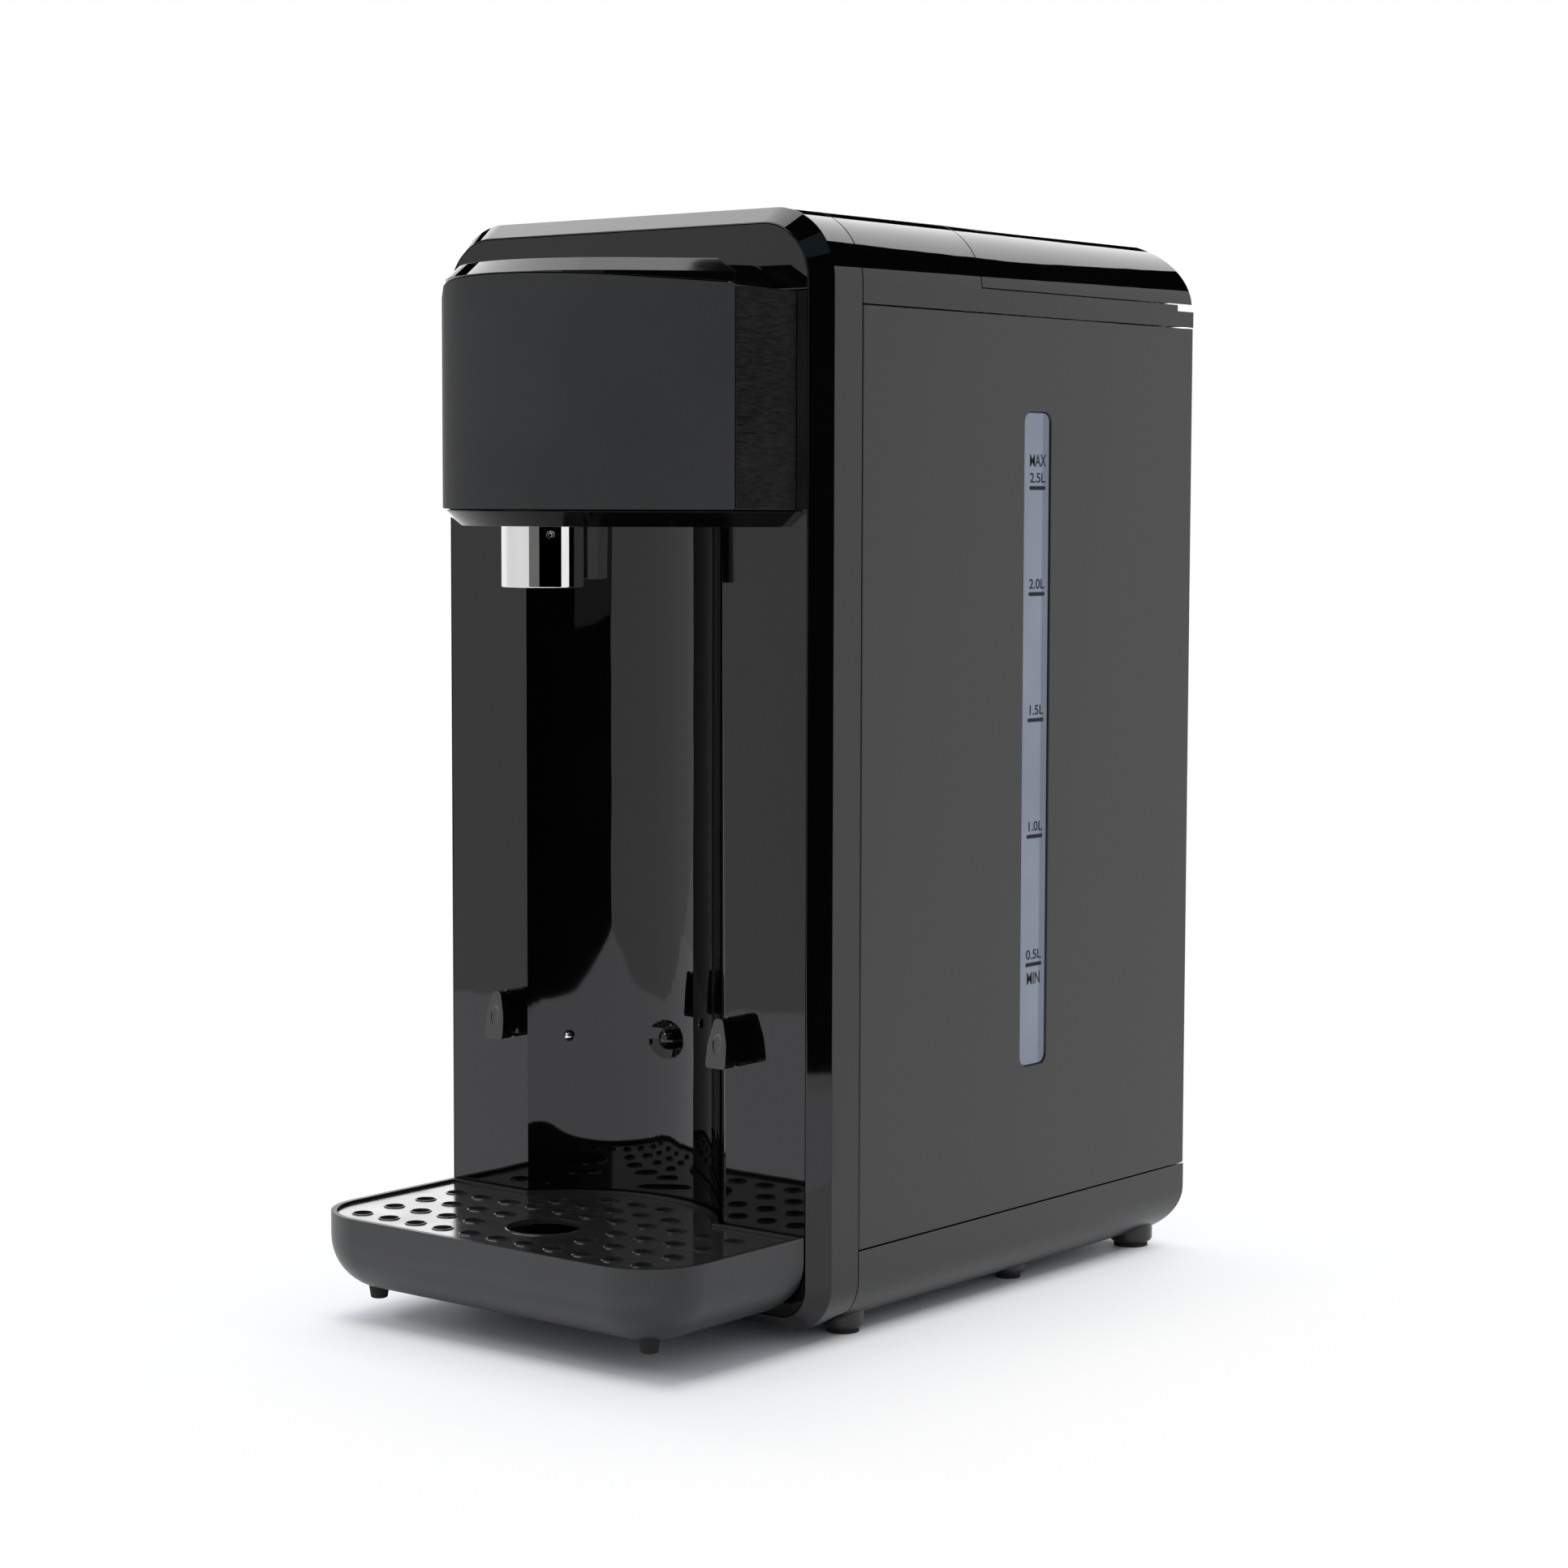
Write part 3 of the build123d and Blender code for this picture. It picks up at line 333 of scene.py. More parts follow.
slotMaterial = {
    "shell_satin": mouldedPlastic(
        "satinShell", (0.014, 0.014, 0.0145), (0.018, 0.018, 0.0185), (0.28, 0.34), 2600.0, 0.00003,
        mottle=14.0, stretch=(1, 1, 0.25), waveStrength=0.12, waveDepth=0.0006,
    ),
    "shell_gloss": mouldedPlastic(
        "glossShell", (0.0012, 0.0012, 0.0014), (0.002, 0.002, 0.0022), (0.02, 0.04), 900.0, 0.0000004,
        mottle=24.0, waveStrength=1.0, waveDepth=0.00015,
    ),
    "head_wrap": mouldedPlastic(
        "headWrap", (0.038, 0.038, 0.038), (0.044, 0.044, 0.044), (0.46, 0.52), 2200.0, 0.00002,
        mottle=22.0, specular=0.02,
    ),
    "head_side": workedMetal(
        "headSide", (0.001, 0.001, 0.001), (0.017, 0.0165, 0.015), (0.30, 0.42), 1500.0, (0.22, 0.22, 1.3),
        0.00003, metallic=0.0, specular=0.35,
    ),
    "tray_satin": mouldedPlastic(
        "satinTray", (0.0145, 0.015, 0.0165), (0.018, 0.019, 0.021), (0.32, 0.38), 2600.0, 0.00003,
    ),
    "grille_steel": workedMetal(
        "brushedGrille", (0.075, 0.075, 0.077), (0.15, 0.15, 0.152), (0.14, 0.22), 1400.0, (0.03, 1.5, 1.0), 0.00001,
        metallic=0.8,
    ),
    "chrome_bright": workedMetal(
        "polishedChrome", (0.78, 0.78, 0.79), (0.84, 0.84, 0.85), (0.03, 0.06), 300.0, (1, 1, 0.2), 0.000002,
    ),
    "window_clear": mouldedPlastic(
        "clearWindow", (0.20, 0.235, 0.30), (0.25, 0.285, 0.35), (0.12, 0.2), 1500.0, 0.000004, mottle=30.0,
    ),
    "tank_clear": clearPlastic("clearTank", (0.72, 0.78, 0.84), 0.22, 0.45),
    "rubber_black": mouldedPlastic(
        "blackRubber", (0.012, 0.012, 0.012), (0.02, 0.02, 0.02), (0.7, 0.85), 1800.0, 0.00006, specular=0.3,
    ),
    "frame_grey": mouldedPlastic(
        "frameGrey", (0.10, 0.10, 0.105), (0.125, 0.125, 0.13), (0.45, 0.55), 2200.0, 0.00004,
    ),
    "pump_black": mouldedPlastic(
        "pumpBlack", (0.01, 0.01, 0.01), (0.018, 0.018, 0.018), (0.35, 0.5), 1500.0, 0.00003,
    ),
    "heater_steel": workedMetal(
        "heaterSteel", (0.42, 0.41, 0.40), (0.56, 0.55, 0.54), (0.28, 0.4), 700.0, (1, 1, 0.05), 0.00001,
    ),
    "silicone_white": mouldedPlastic(
        "whiteSilicone", (0.55, 0.55, 0.53), (0.64, 0.64, 0.62), (0.45, 0.6), 1200.0, 0.00003,
    ),
    "board_green": mouldedPlastic(
        "boardGreen", (0.01, 0.10, 0.035), (0.02, 0.14, 0.05), (0.25, 0.35), 900.0, 0.00004,
    ),
    "component_dark": mouldedPlastic(
        "componentDark", (0.01, 0.01, 0.011), (0.016, 0.016, 0.018), (0.35, 0.5), 2000.0, 0.00004,
    ),
    "contact_brass": workedMetal(
        "brass", (0.62, 0.47, 0.2), (0.74, 0.58, 0.27), (0.2, 0.3), 900.0, (1, 0.05, 1), 0.00001,
    ),
    "screw_steel": workedMetal(
        "zincSteel", (0.42, 0.42, 0.43), (0.58, 0.58, 0.6), (0.25, 0.4), 900.0, (1, 1, 1), 0.00001,
    ),
    "strainer_white": mouldedPlastic(
        "strainerWhite", (0.62, 0.62, 0.61), (0.7, 0.7, 0.69), (0.4, 0.5), 1800.0, 0.00003,
    ),
}
underGloss = mouldedPlastic(
    "underGloss", (0.0012, 0.0012, 0.0014), (0.002, 0.002, 0.0022), (0.05, 0.09), 900.0, 0.0000004,
    mottle=24.0, waveStrength=1.0, waveDepth=0.00015, specular=0.12,
)
pegGloss = mouldedPlastic(
    "pegGloss", (0.002, 0.002, 0.0022), (0.003, 0.003, 0.0034), (0.06, 0.1), 900.0, 0.0000006, specular=1.0,
)
markInk = mouldedPlastic(
    "markInk", (0.018, 0.019, 0.022), (0.026, 0.027, 0.03), (0.5, 0.6), 1600.0, 0.000005, specular=0.1,
)
# painted shade on the window: where along Y the darkening starts and ends, and the colour it multiplies in
windowShadeBand = {"from": 0.0421, "to": 0.0429, "shade": (0.62, 0.64, 0.66, 1)}  # along Y, in metres


def addWindowShade(material):
    # painted shade: a deeper band is multiplied into the colour along the far side of the window
    tree = material.node_tree
    base = tree.nodes["Principled BSDF"].inputs["Base Color"]
    split = addNode(tree, "SeparateXYZ", {"Vector": addNode(tree, "TexCoord").outputs["Object"]})
    band = spread(tree, split.outputs["Y"], 0, 1, windowShadeBand["from"], windowShadeBand["to"])
    inputs = {"Factor": band, 6: base.links[0].from_socket, 7: windowShadeBand["shade"]}
    shade = addNode(tree, "Mix", inputs, data_type="RGBA", blend_type="MULTIPLY")
    tree.links.new(shade.outputs[2], base)


addWindowShade(slotMaterial["window_clear"])

for node, slot in slotOf.items():
    mesh = frame["nodes"][node].data
    mesh.materials.clear()
    mesh.materials.append(slotMaterial[slot])
print("materials ready")

shell = {
    "halfWidth": 69.8,
    "height": 306.0,
    "underside": 3.7,
    "topRadius": 20.0,
    "baseRadius": 13.5,
    "rearTopRadius": 19.0,
    "rearBaseRadius": 15.0,
    "rear": 182.1,
    "baseSeam": 24.9,
    "sideSeam": 280.6,
    "lidSeam": 287.1,
    "gap": 0.3,
    "fit": 0.15,
}


def bodyBlock(inset, y0, y1, segments=16):
    # the front view of the body, run from one depth to another
    bm = bmesh.new()
    half = shell["halfWidth"] - inset
    addBlock(bm, (-half, y0, shell["underside"] + inset), (half, y1, shell["height"] - inset))
    top = edgesWhere(bm, lambda mid, e: runsAlong(e, 1) and mid.z > 100)
    roundEdges(bm, top, shell["topRadius"] - inset, segments)
    bottom = edgesWhere(bm, lambda mid, e: runsAlong(e, 1) and mid.z < shell["underside"] + inset + 0.01)
    bottom = [e for e in bottom if abs(abs(e.verts[0].co.x) - half) < 0.01]
    roundEdges(bm, bottom, shell["baseRadius"] - inset, segments)
    return bm


def blockMesh(low, high):
    bm = bmesh.new()
    addBlock(bm, low, high)
    return bm


frameRing = {"depth": 17.6, "bevelWidth": 4.3, "bevelDepth": 5.7, "land": 0.3}


def makeFrontFrame():
    r = frameRing
    bm = bodyBlock(0, r["bevelDepth"], r["depth"], 24)
    bm.faces.ensure_lookup_table()
    front = min(bm.faces, key=lambda f: f.calc_center_median().y)
    back = max(bm.faces, key=lambda f: f.calc_center_median().y)
    bmesh.ops.inset_region(
        bm, faces=[front], thickness=r["bevelWidth"], depth=r["bevelDepth"], use_even_offset=True
    )
    bmesh.ops.inset_region(bm, faces=[front], thickness=r["land"], use_even_offset=True)
    bmesh.ops.inset_region(bm, faces=[back], thickness=r["bevelWidth"] + r["land"], use_even_offset=True)
    loops = list(front.edges) + list(back.edges)
    bmesh.ops.delete(bm, geom=[front, back], context="FACES_ONLY")
    bmesh.ops.bridge_loops(bm, edges=loops)
    closeUp(bm)
    replaceNode(bm, "front_frame", edge=0.3, sharp=24)


makeFrontFrame()

bay = {"radius": 43.6, "centreY": -24.6, "bottom": 10.95, "top": 226.0, "wall": 2.5, "edgeCut": 2.0}
bay["rear"] = bay["centreY"] + bay["radius"]
panel = {"inset": 4.75, "socketDepth": 14.0}
sensor = {"z": 76.1, "radius": 3.4, "reach": 1.8, "dimple": 14.0, "sink": 1.2, "stem": 2.4, "rear": 2.5}
tongue = {"x": 45.0, "halfWidth": 5.0, "low": 18.0, "high": 24.0, "rear": 16.0, "gap": 0.3}


def tonguePair(bm, front, rear, gap=0.0):
    # the tray's two tongues, or with a gap the sockets that take them
    for sign in (-1, 1):
        x, half = sign * tongue["x"], tongue["halfWidth"] + gap
        addBlock(bm, (x - half, front, tongue["low"] - gap), (x + half, rear, tongue["high"] + gap))


def makeFrontPanel():
    b = bay
    centre = (0, b["centreY"])
    plate = bodyBlock(panel["inset"], 0, b["wall"])
    back = bmesh.new()
    addRound(back, b["radius"] + b["wall"], b["bottom"] - b["wall"], b["top"] + b["wall"], centre, sides=160)
    back = combine(back, blockMesh((-80, 0, 0), (80, 80, 300)), "INTERSECT")
    plate = combine(plate, back, "UNION")
    hollow = bmesh.new()
    addRound(hollow, b["radius"], b["bottom"], b["top"], centre, sides=160)
    plate = combine(plate, hollow, "DIFFERENCE")
    chord = math.sqrt(b["radius"] ** 2 - b["centreY"] ** 2)
    lips = edgesWhere(
        plate,
        lambda mid, e: runsAlong(e, 2)
        and abs(mid.y) < 0.01
        and abs(abs(mid.x) - chord) < 0.4
        and mid.z < b["top"],
    )
    roundEdges(plate, lips, b["edgeCut"], 8)
    dimple = bmesh.new()
    place = (0, b["rear"] + sensor["sink"] - sensor["dimple"], sensor["z"])
    addBall(dimple, sensor["dimple"], place, around=96, rings=64)
    plate = combine(plate, dimple, "DIFFERENCE")
    sockets = bmesh.new()
    tonguePair(sockets, -5, panel["socketDepth"], tongue["gap"])
    plate = combine(plate, sockets, "DIFFERENCE")
    replaceNode(plate, "front_panel", edge=0.25, sharp=30)


makeFrontPanel()

side = {"wall": 2.2, "front": 17.9, "low": 25.2, "high": 280.3}
window = {"y": 100.1, "width": 12.9, "low": 65.8, "high": 253.6, "radius": 3.0, "recess": 0.4}
window["face"] = shell["halfWidth"] - window["recess"]


def windowBlock(inset, x0, x1):
    w = window
    bm = bmesh.new()
    addBlock(
        bm,
        (x0, w["y"] - w["width"] / 2 + inset, w["low"] + inset),
        (x1, w["y"] + w["width"] / 2 - inset, w["high"] - inset),
    )
    roundEdges(bm, edgesWhere(bm, lambda mid, e: runsAlong(e, 0)), w["radius"] - inset, 8)
    return bm


def makeSidePanels():
    for sign, node in ((1, "side_panel_right"), (-1, "side_panel_left")):
        outer = sign * shell["halfWidth"]
        inner = sign * (shell["halfWidth"] - side["wall"])
        x0, x1 = sorted((outer, inner))
        bm = blockMesh((x0, side["front"], side["low"]), (x1, shell["rear"], side["high"]))
        if sign > 0:
            bm = combine(bm, windowBlock(0, x0 - 1, x1 + 1), "DIFFERENCE")
        replaceNode(bm, node, edge=0.4, sharp=30)


makeSidePanels()


def makeWindow():
    bm = windowBlock(shell["fit"], shell["halfWidth"] - side["wall"], window["face"])
    replaceNode(bm, "level_window", edge=0.3)


makeWindow()

marks = {
    "bars": {"2.5L": 232.0, "2.0L": 201.8, "1.5L": 165.7, "1.0L": 132.2, "0.5L": 95.1},
    "from": 96.5,
    "to": 104.5,
    "thick": 1.1,
    "rise": 2.75,
    "letter": 3.9,
    "spread": 1.15,
    "ends": {"MAX": 239.6, "MIN": 90.9},
    "endLetter": 4.9,
    "endSpread": 0.78,
    "stroke": 0.045,
    "thickness": 0.02,
    "barSink": 0.05,
    "barRise": 0.04,
}


def makeMark(text, z, height, spreadOut, name):
    # letters drawn flat, then stood up on the window's face
    curve = bpy.data.curves.new(name, "FONT")
    curve.body = text
    curve.size = height
    curve.align_x = "CENTER"
    curve.align_y = "CENTER"
    curve.extrude = marks["thickness"]
    curve.offset = marks["stroke"]
    holder = bpy.data.objects.new(name + "Curve", curve)
    bpy.context.scene.collection.objects.link(holder)
    bpy.context.view_layer.update()
    mesh = bpy.data.meshes.new_from_object(holder.evaluated_get(bpy.context.evaluated_depsgraph_get()))
    bpy.data.objects.remove(holder)
    bm = bmesh.new()
    bm.from_mesh(mesh)
    bpy.data.meshes.remove(mesh)
    turn = Matrix(((0, 0, 1, 0), (1, 0, 0, 0), (0, 1, 0, 0), (0, 0, 0, 1)))
    centre = (window["face"] + marks["thickness"], (marks["from"] + marks["to"]) / 2, z)
    place = Matrix.Translation(centre) @ turn @ Matrix.Diagonal((spreadOut, 1, 1, 1))
    bmesh.ops.transform(bm, matrix=place, verts=bm.verts)
    closeUp(bm, 0.0001)
    finishPiece(bm, name, markInk, edge=0)


def makeMarks():
    m = marks
    bars = bmesh.new()
    for text, z in m["bars"].items():
        bar = addBlock(
            bars,
            (window["face"] - m["barSink"], m["from"], z - m["thick"] / 2),
            (window["face"] + m["barRise"], m["to"], z + m["thick"] / 2),
        )
        ends = {e for v in bar for e in v.link_edges if runsAlong(e, 0)}
        roundEdges(bars, list(ends), m["thick"] * 0.45, 5)
        makeMark(text, z + m["rise"], m["letter"], m["spread"], "mark" + text.replace(".", "p"))
    finishPiece(bars, "markBars", markInk, edge=0)
    for text, z in m["ends"].items():
        makeMark(text, z, m["endLetter"], m["endSpread"], "mark" + text)


makeMarks()
print("sides and window made")

fittingLip = 2.5


def makeRearPanel():
    low, high = nodeBox("rear_panel")
    bm = blockMesh(low, high)
    holes = bmesh.new()
    lip = fittingLip - shell["fit"]
    for node in ("power_inlet", "switch_housing"):
        a, b = nodeBox(node)
        addBlock(holes, (a.x + lip, low.y - 2, a.z + lip), (b.x - lip, high.y + 2, b.z - lip))
    bm = combine(bm, holes, "DIFFERENCE")
    replaceNode(bm, "rear_panel", edge=0.3)


makeRearPanel()

collar = {
    "front": 17.9,
    "coverRear": 72.0,
    "wall": 2.4,
    "rim": 5.0,
    "reliefDrop": 1.8,
    "panelX": 46.15,
    "panelFront": 29.85,
    "panelRear": 60.15,
    "scoop": (14.0, 14.0, 1.6),
    "earFoot": 2.2,
}
hinge = {
    "x": 48.0,
    "y": 178.3,
    "z": 289.0,
    "ear": 8.0,
    "knuckle": 6.0,
    "gap": 0.4,
    "radius": 2.4,
    "knuckleFoot": 5.0,
}


def makeCollar():
    c = collar
    half, top = shell["halfWidth"], shell["height"]
    cover = bodyBlock(0, c["front"], c["coverRear"], 24)
    cover = combine(cover, blockMesh((-80, 0, shell["sideSeam"]), (80, 200, top + 5)), "INTERSECT")
    cover = combine(cover, bodyBlock(c["wall"], c["front"] - 5, c["coverRear"] - c["wall"], 24), "DIFFERENCE")
    strip = blockMesh((-half, c["coverRear"] - 1.0, shell["sideSeam"]), (half, shell["rear"], shell["lidSeam"]))
    strip = combine(strip, bodyBlock(0, 0, 200, 24), "INTERSECT")
    inner = half - c["rim"]
    strip = combine(
        strip, blockMesh((-inner, 50, shell["sideSeam"] - 1), (inner, shell["rear"] - c["rim"], top)), "DIFFERENCE"
    )
    relief = (-80, hinge["y"] - c["rim"], shell["lidSeam"] - c["reliefDrop"])
    strip = combine(strip, blockMesh(relief, (80, 200, top)), "DIFFERENCE")
    cover = combine(cover, strip, "UNION")
    cut = blockMesh((-c["panelX"], c["panelFront"], top - 10), (c["panelX"], c["panelRear"], top + 5))
    cover = combine(cover, cut, "DIFFERENCE")
    scoop = bmesh.new()
    addBall(scoop, 1, (0, c["coverRear"], top), around=64, stretch=c["scoop"])
    cover = combine(cover, scoop, "DIFFERENCE")
    for sign in (-1, 1):
        x0, x1 = sorted((sign * (hinge["x"] - hinge["ear"] / 2), sign * (hinge["x"] + hinge["ear"] / 2)))
        addRound(cover, hinge["radius"], x0, x1, (hinge["y"], hinge["z"]), "X", 40)
        addBlock(
            cover,
            (x0, hinge["y"] - hinge["radius"], shell["lidSeam"] - c["earFoot"]),
            (x1, hinge["y"] + hinge["radius"] / 2, hinge["z"]),
        )
    replaceNode(cover, "top_collar", sharp=30)


makeCollar()


def sideProfileBlock(rear, low, high, radius, top):
    # a block across the whole width with its rear edge rounded, at the top or at the bottom
    bm = blockMesh((-90, -200, low), (90, rear, high))
    level = high if top else low
    edges = edgesWhere(bm, lambda mid, e: runsAlong(e, 0) and mid.y > rear - 0.01 and abs(mid.z - level) < 0.01)
    roundEdges(bm, edges, radius, 24)
    return bm


lidSize = {"front": 72.3, "rear": 181.2, "wall": 2.2}


def lidBlock(inset, front):
    bm = bodyBlock(inset, front, lidSize["rear"] - inset, 24)
    profile = sideProfileBlock(
        lidSize["rear"] - inset, 100, shell["height"] - inset, shell["rearTopRadius"] - inset, True
    )
    bm = combine(bm, profile, "INTERSECT")
    low = shell["lidSeam"] + shell["gap"]
    return combine(bm, blockMesh((-90, 0, low - (inset > 0)), (90, 200, 400)), "INTERSECT")


def makeLid():
    lid = lidBlock(0, lidSize["front"])
    lid = combine(lid, lidBlock(lidSize["wall"], lidSize["front"] + lidSize["wall"]), "DIFFERENCE")
    room = hinge["ear"] / 2 + hinge["gap"]
    reach = hinge["radius"] + hinge["gap"]
    notches = bmesh.new()
    for sign in (-1, 1):
        addBlock(
            notches,
            (sign * hinge["x"] - room, hinge["y"] - reach, shell["lidSeam"] - 2),
            (sign * hinge["x"] + room, shell["rear"] + 2, hinge["z"] + reach),
        )
    lid = combine(lid, notches, "DIFFERENCE")
    pitch = (hinge["ear"] + hinge["knuckle"]) / 2 + hinge["gap"]
    for x in (hinge["x"] - pitch, hinge["x"] + pitch, -hinge["x"] - pitch, -hinge["x"] + pitch):
        x0, x1 = x - hinge["knuckle"] / 2, x + hinge["knuckle"] / 2
        addRound(lid, hinge["radius"], x0, x1, (hinge["y"], hinge["z"]), "X", 40)
        addBlock(
            lid,
            (x0, hinge["y"] - hinge["radius"], hinge["z"]),
            (x1, hinge["y"], hinge["z"] + hinge["knuckleFoot"]),
        )
    replaceNode(lid, "tank_lid", body="lid", sharp=30)


makeLid()

baseSize = {"front": 17.9, "wall": 2.6}
feet = {
    "spots": ((58.4, 25.5, 6.0), (55.2, 109.5, 5.0), (58.7, 170.0, 6.6)),
    "bottom": 1.4,
    "top": 12.0,
    "edge": 1.4,
}


def baseBlock(inset, front):
    bm = bodyBlock(inset, front, shell["rear"] - inset, 20)
    profile = sideProfileBlock(
        shell["rear"] - inset, shell["underside"] + inset, 400, shell["rearBaseRadius"] - inset, False
    )
    return combine(bm, profile, "INTERSECT")


def makeBase():
    b = baseSize
    bm = baseBlock(0, b["front"])
    bm = combine(bm, blockMesh((-90, 0, 0), (90, 200, shell["baseSeam"])), "INTERSECT")
    bm = combine(bm, baseBlock(b["wall"], b["front"] - 5), "DIFFERENCE")
    f = feet
    for x, y, radius in f["spots"]:
        curve = [(0.01, f["bottom"])]
        for step in range(7):
            a = math.radians(step * 15)
            reach = radius - f["edge"] + f["edge"] * math.sin(a)
            curve.append((reach, f["bottom"] + f["edge"] * (1 - math.cos(a))))
        curve += [(radius, f["top"]), (0.01, f["top"])]
        for middle in (-x, x):
            spinChain(bm, [(middle + reach, y, z) for reach, z in curve], (middle, y, 0), steps=48)
    closeUp(bm, 0.002)
    replaceNode(bm, "base_shell", sharp=35)


makeBase()
print("body shell made")

controls = {"halfWidth": 46.0, "front": 30.0, "rear": 60.0, "thick": 2.4, "x": (-28.0, 0.0, 28.0), "y": 45.0}
button = {"radius": 8.0, "gap": 0.2, "dish": 0.35, "flange": 1.2, "flangeLow": 2.0, "flangeHigh": 3.5, "stem": 2.5}


def makeButton(name):
    # a shallow dish for the fingertip, a rolled edge, then the skirt, its flange and the stem
    b = button
    top, r, wide = shell["height"], b["radius"], b["radius"] + b["flange"]
    node = "button_" + name
    low, high = nodeBox(node)
    x, y = (low.x + high.x) / 2, (low.y + high.y) / 2
    under, over = low.z + b["flangeLow"], low.z + b["flangeHigh"]
    curve = [(0.02, top - b["dish"]), (r * 0.45, top - b["dish"] * 0.8), (r * 0.8, top - b["dish"] * 0.25)]
    curve += [(r - 0.9, top), (r - 0.35, top - 0.03), (r - 0.08, top - 0.2), (r, top - 0.5)]
    curve += [(r, over), (wide, over), (wide, under), (b["stem"], under), (b["stem"], low.z), (0.02, low.z)]
    cap = bmesh.new()
    spinChain(cap, [(x + reach, y, z) for reach, z in curve], (x, y, 0), steps=72)
    closeUp(cap, 0.003)
    replaceNode(cap, node, body=name + "_button", edge=0)


def makeControls():
    c = controls
    top = shell["height"]
    bm = blockMesh((-c["halfWidth"], c["front"], top - c["thick"]), (c["halfWidth"], c["rear"], top))
    holes = bmesh.new()
    for x in c["x"]:
        addRound(holes, button["radius"] + button["gap"], top - 10, top + 5, (x, c["y"]), sides=72)
    bm = combine(bm, holes, "DIFFERENCE")
    replaceNode(bm, "control_panel", edge=0.25)
    for name in ("left", "middle", "right"):
        makeButton(name)


makeControls()
print("controls made")

head = {
    "noseRadius": 48.4,
    "noseCentre": -0.3,
    "noseAngle": 44.7,
    "flank": 27.7,
    "root": 61.6,
    "bottom": 221.2,
    "plateBottom": 225.8,
    "plateTop": 287.5,
    "top": 291.5,
    "reach": 48.7,
    "slope": 3.75 / 48.7,
    "skin": 1.5,
    "coreDrop": 0.5,
    "capOverlap": 12.0,
    "capInset": 0.5,
    "capRun": 4.0,
    "capFall": 3.56,
    "rootDrop": 1.0,
    "rootRun": 13.0,
    "rootFall": 6.6,
    "bottomRun": 4.2,
    "bottomFall": 4.0,
}


def headSeam():
    angle = math.radians(head["noseAngle"])
    x = head["noseRadius"] * math.sin(angle) + head["flank"] * math.cos(angle)
    y = head["noseCentre"] - head["noseRadius"] * math.cos(angle) + head["flank"] * math.sin(angle)
    return x, y


def headChain(bm, inset, z):
    # half of the plan outline, from the tip of the nose round to the wall
    angle = math.radians(head["noseAngle"])
    radius = head["noseRadius"] - inset
    tip = bm.verts.new((0, head["noseCentre"] - radius, z))
    spun = bmesh.ops.spin(
        bm, geom=[tip], cent=(0, head["noseCentre"], z), axis=(0, 0, 1), angle=angle, steps=24, use_merge=False
    )
    last = [v for v in spun["geom_last"] if isinstance(v, bmesh.types.BMVert)][0]
    step = bmesh.ops.extrude_vert_indiv(bm, verts=[last])
    seam = step["verts"][0]
    seam.co.x += head["flank"] * math.cos(angle)
    seam.co.y += head["flank"] * math.sin(angle)
    step = bmesh.ops.extrude_vert_indiv(bm, verts=[seam])
    step["verts"][0].co = (head["root"] - inset, 0, z)


def headPrism(inset, z0, z1):
    bm = bmesh.new()
    headChain(bm, inset, z0)
    bmesh.ops.mirror(bm, geom=list(bm.verts) + list(bm.edges), axis="X", merge_dist=0.001)
    bmesh.ops.remove_doubles(bm, verts=bm.verts, dist=0.001)
    openEnds = [v for v in bm.verts if len(v.link_edges) == 1]
    bm.edges.new(openEnds)
    bmesh.ops.contextual_create(bm, geom=list(bm.edges))
    bm.faces.ensure_lookup_table()
    raiseFace(bm, bm.faces[0], (0, 0, z1 - z0))
    closeUp(bm)
    return bm


def cutSlope(bm, drop, keepBelow=True):
    # the sloping joint between the front plate and the top cap
    level = (0, -head["reach"], head["plateTop"] - drop)
    sliceOff(bm, level, Vector((0, head["slope"], 1)).normalized(), keepBelow)
    closeUp(bm)
    return bm


def keepBetween(bm, y0, y1):
    sliceOff(bm, (0, y0, 0), (0, -1, 0))
    sliceOff(bm, (0, y1, 0), (0, 1, 0))
    closeUp(bm)
    return bm


def slopeEdges(bm, run, fall):
    # the face at one end is drawn in all round, so that the edge slopes
    end = max(bm.faces, key=lambda f: f.calc_center_median().z * math.copysign(1, fall))
    bmesh.ops.inset_region(bm, faces=[end], thickness=run, depth=abs(fall), use_even_offset=True)


def capBlock(low, high, run, fall):
    # the head's outline runs on behind the wall, where it is cut off later
    seamX, seamY = headSeam()
    bm = headPrism(head["capInset"], low, high)
    for v in bm.verts:
        if abs(v.co.y) < 0.001:
            v.co.x += math.copysign(head["root"] - seamX, v.co.x)
            v.co.y -= seamY
    slopeEdges(bm, run, fall)
    return bm


def rootBlock(low, high, run, fall):
    seamX, seamY = headSeam()
    lean = (head["root"] - seamX) / -seamY
    bm = blockMesh((-1, seamY - 30, low), (1, 30, high))
    for v in bm.verts:
        v.co.x = math.copysign(head["root"] - head["capInset"] + v.co.y * lean, v.co.x)
    slopeEdges(bm, run, fall)
    return bm


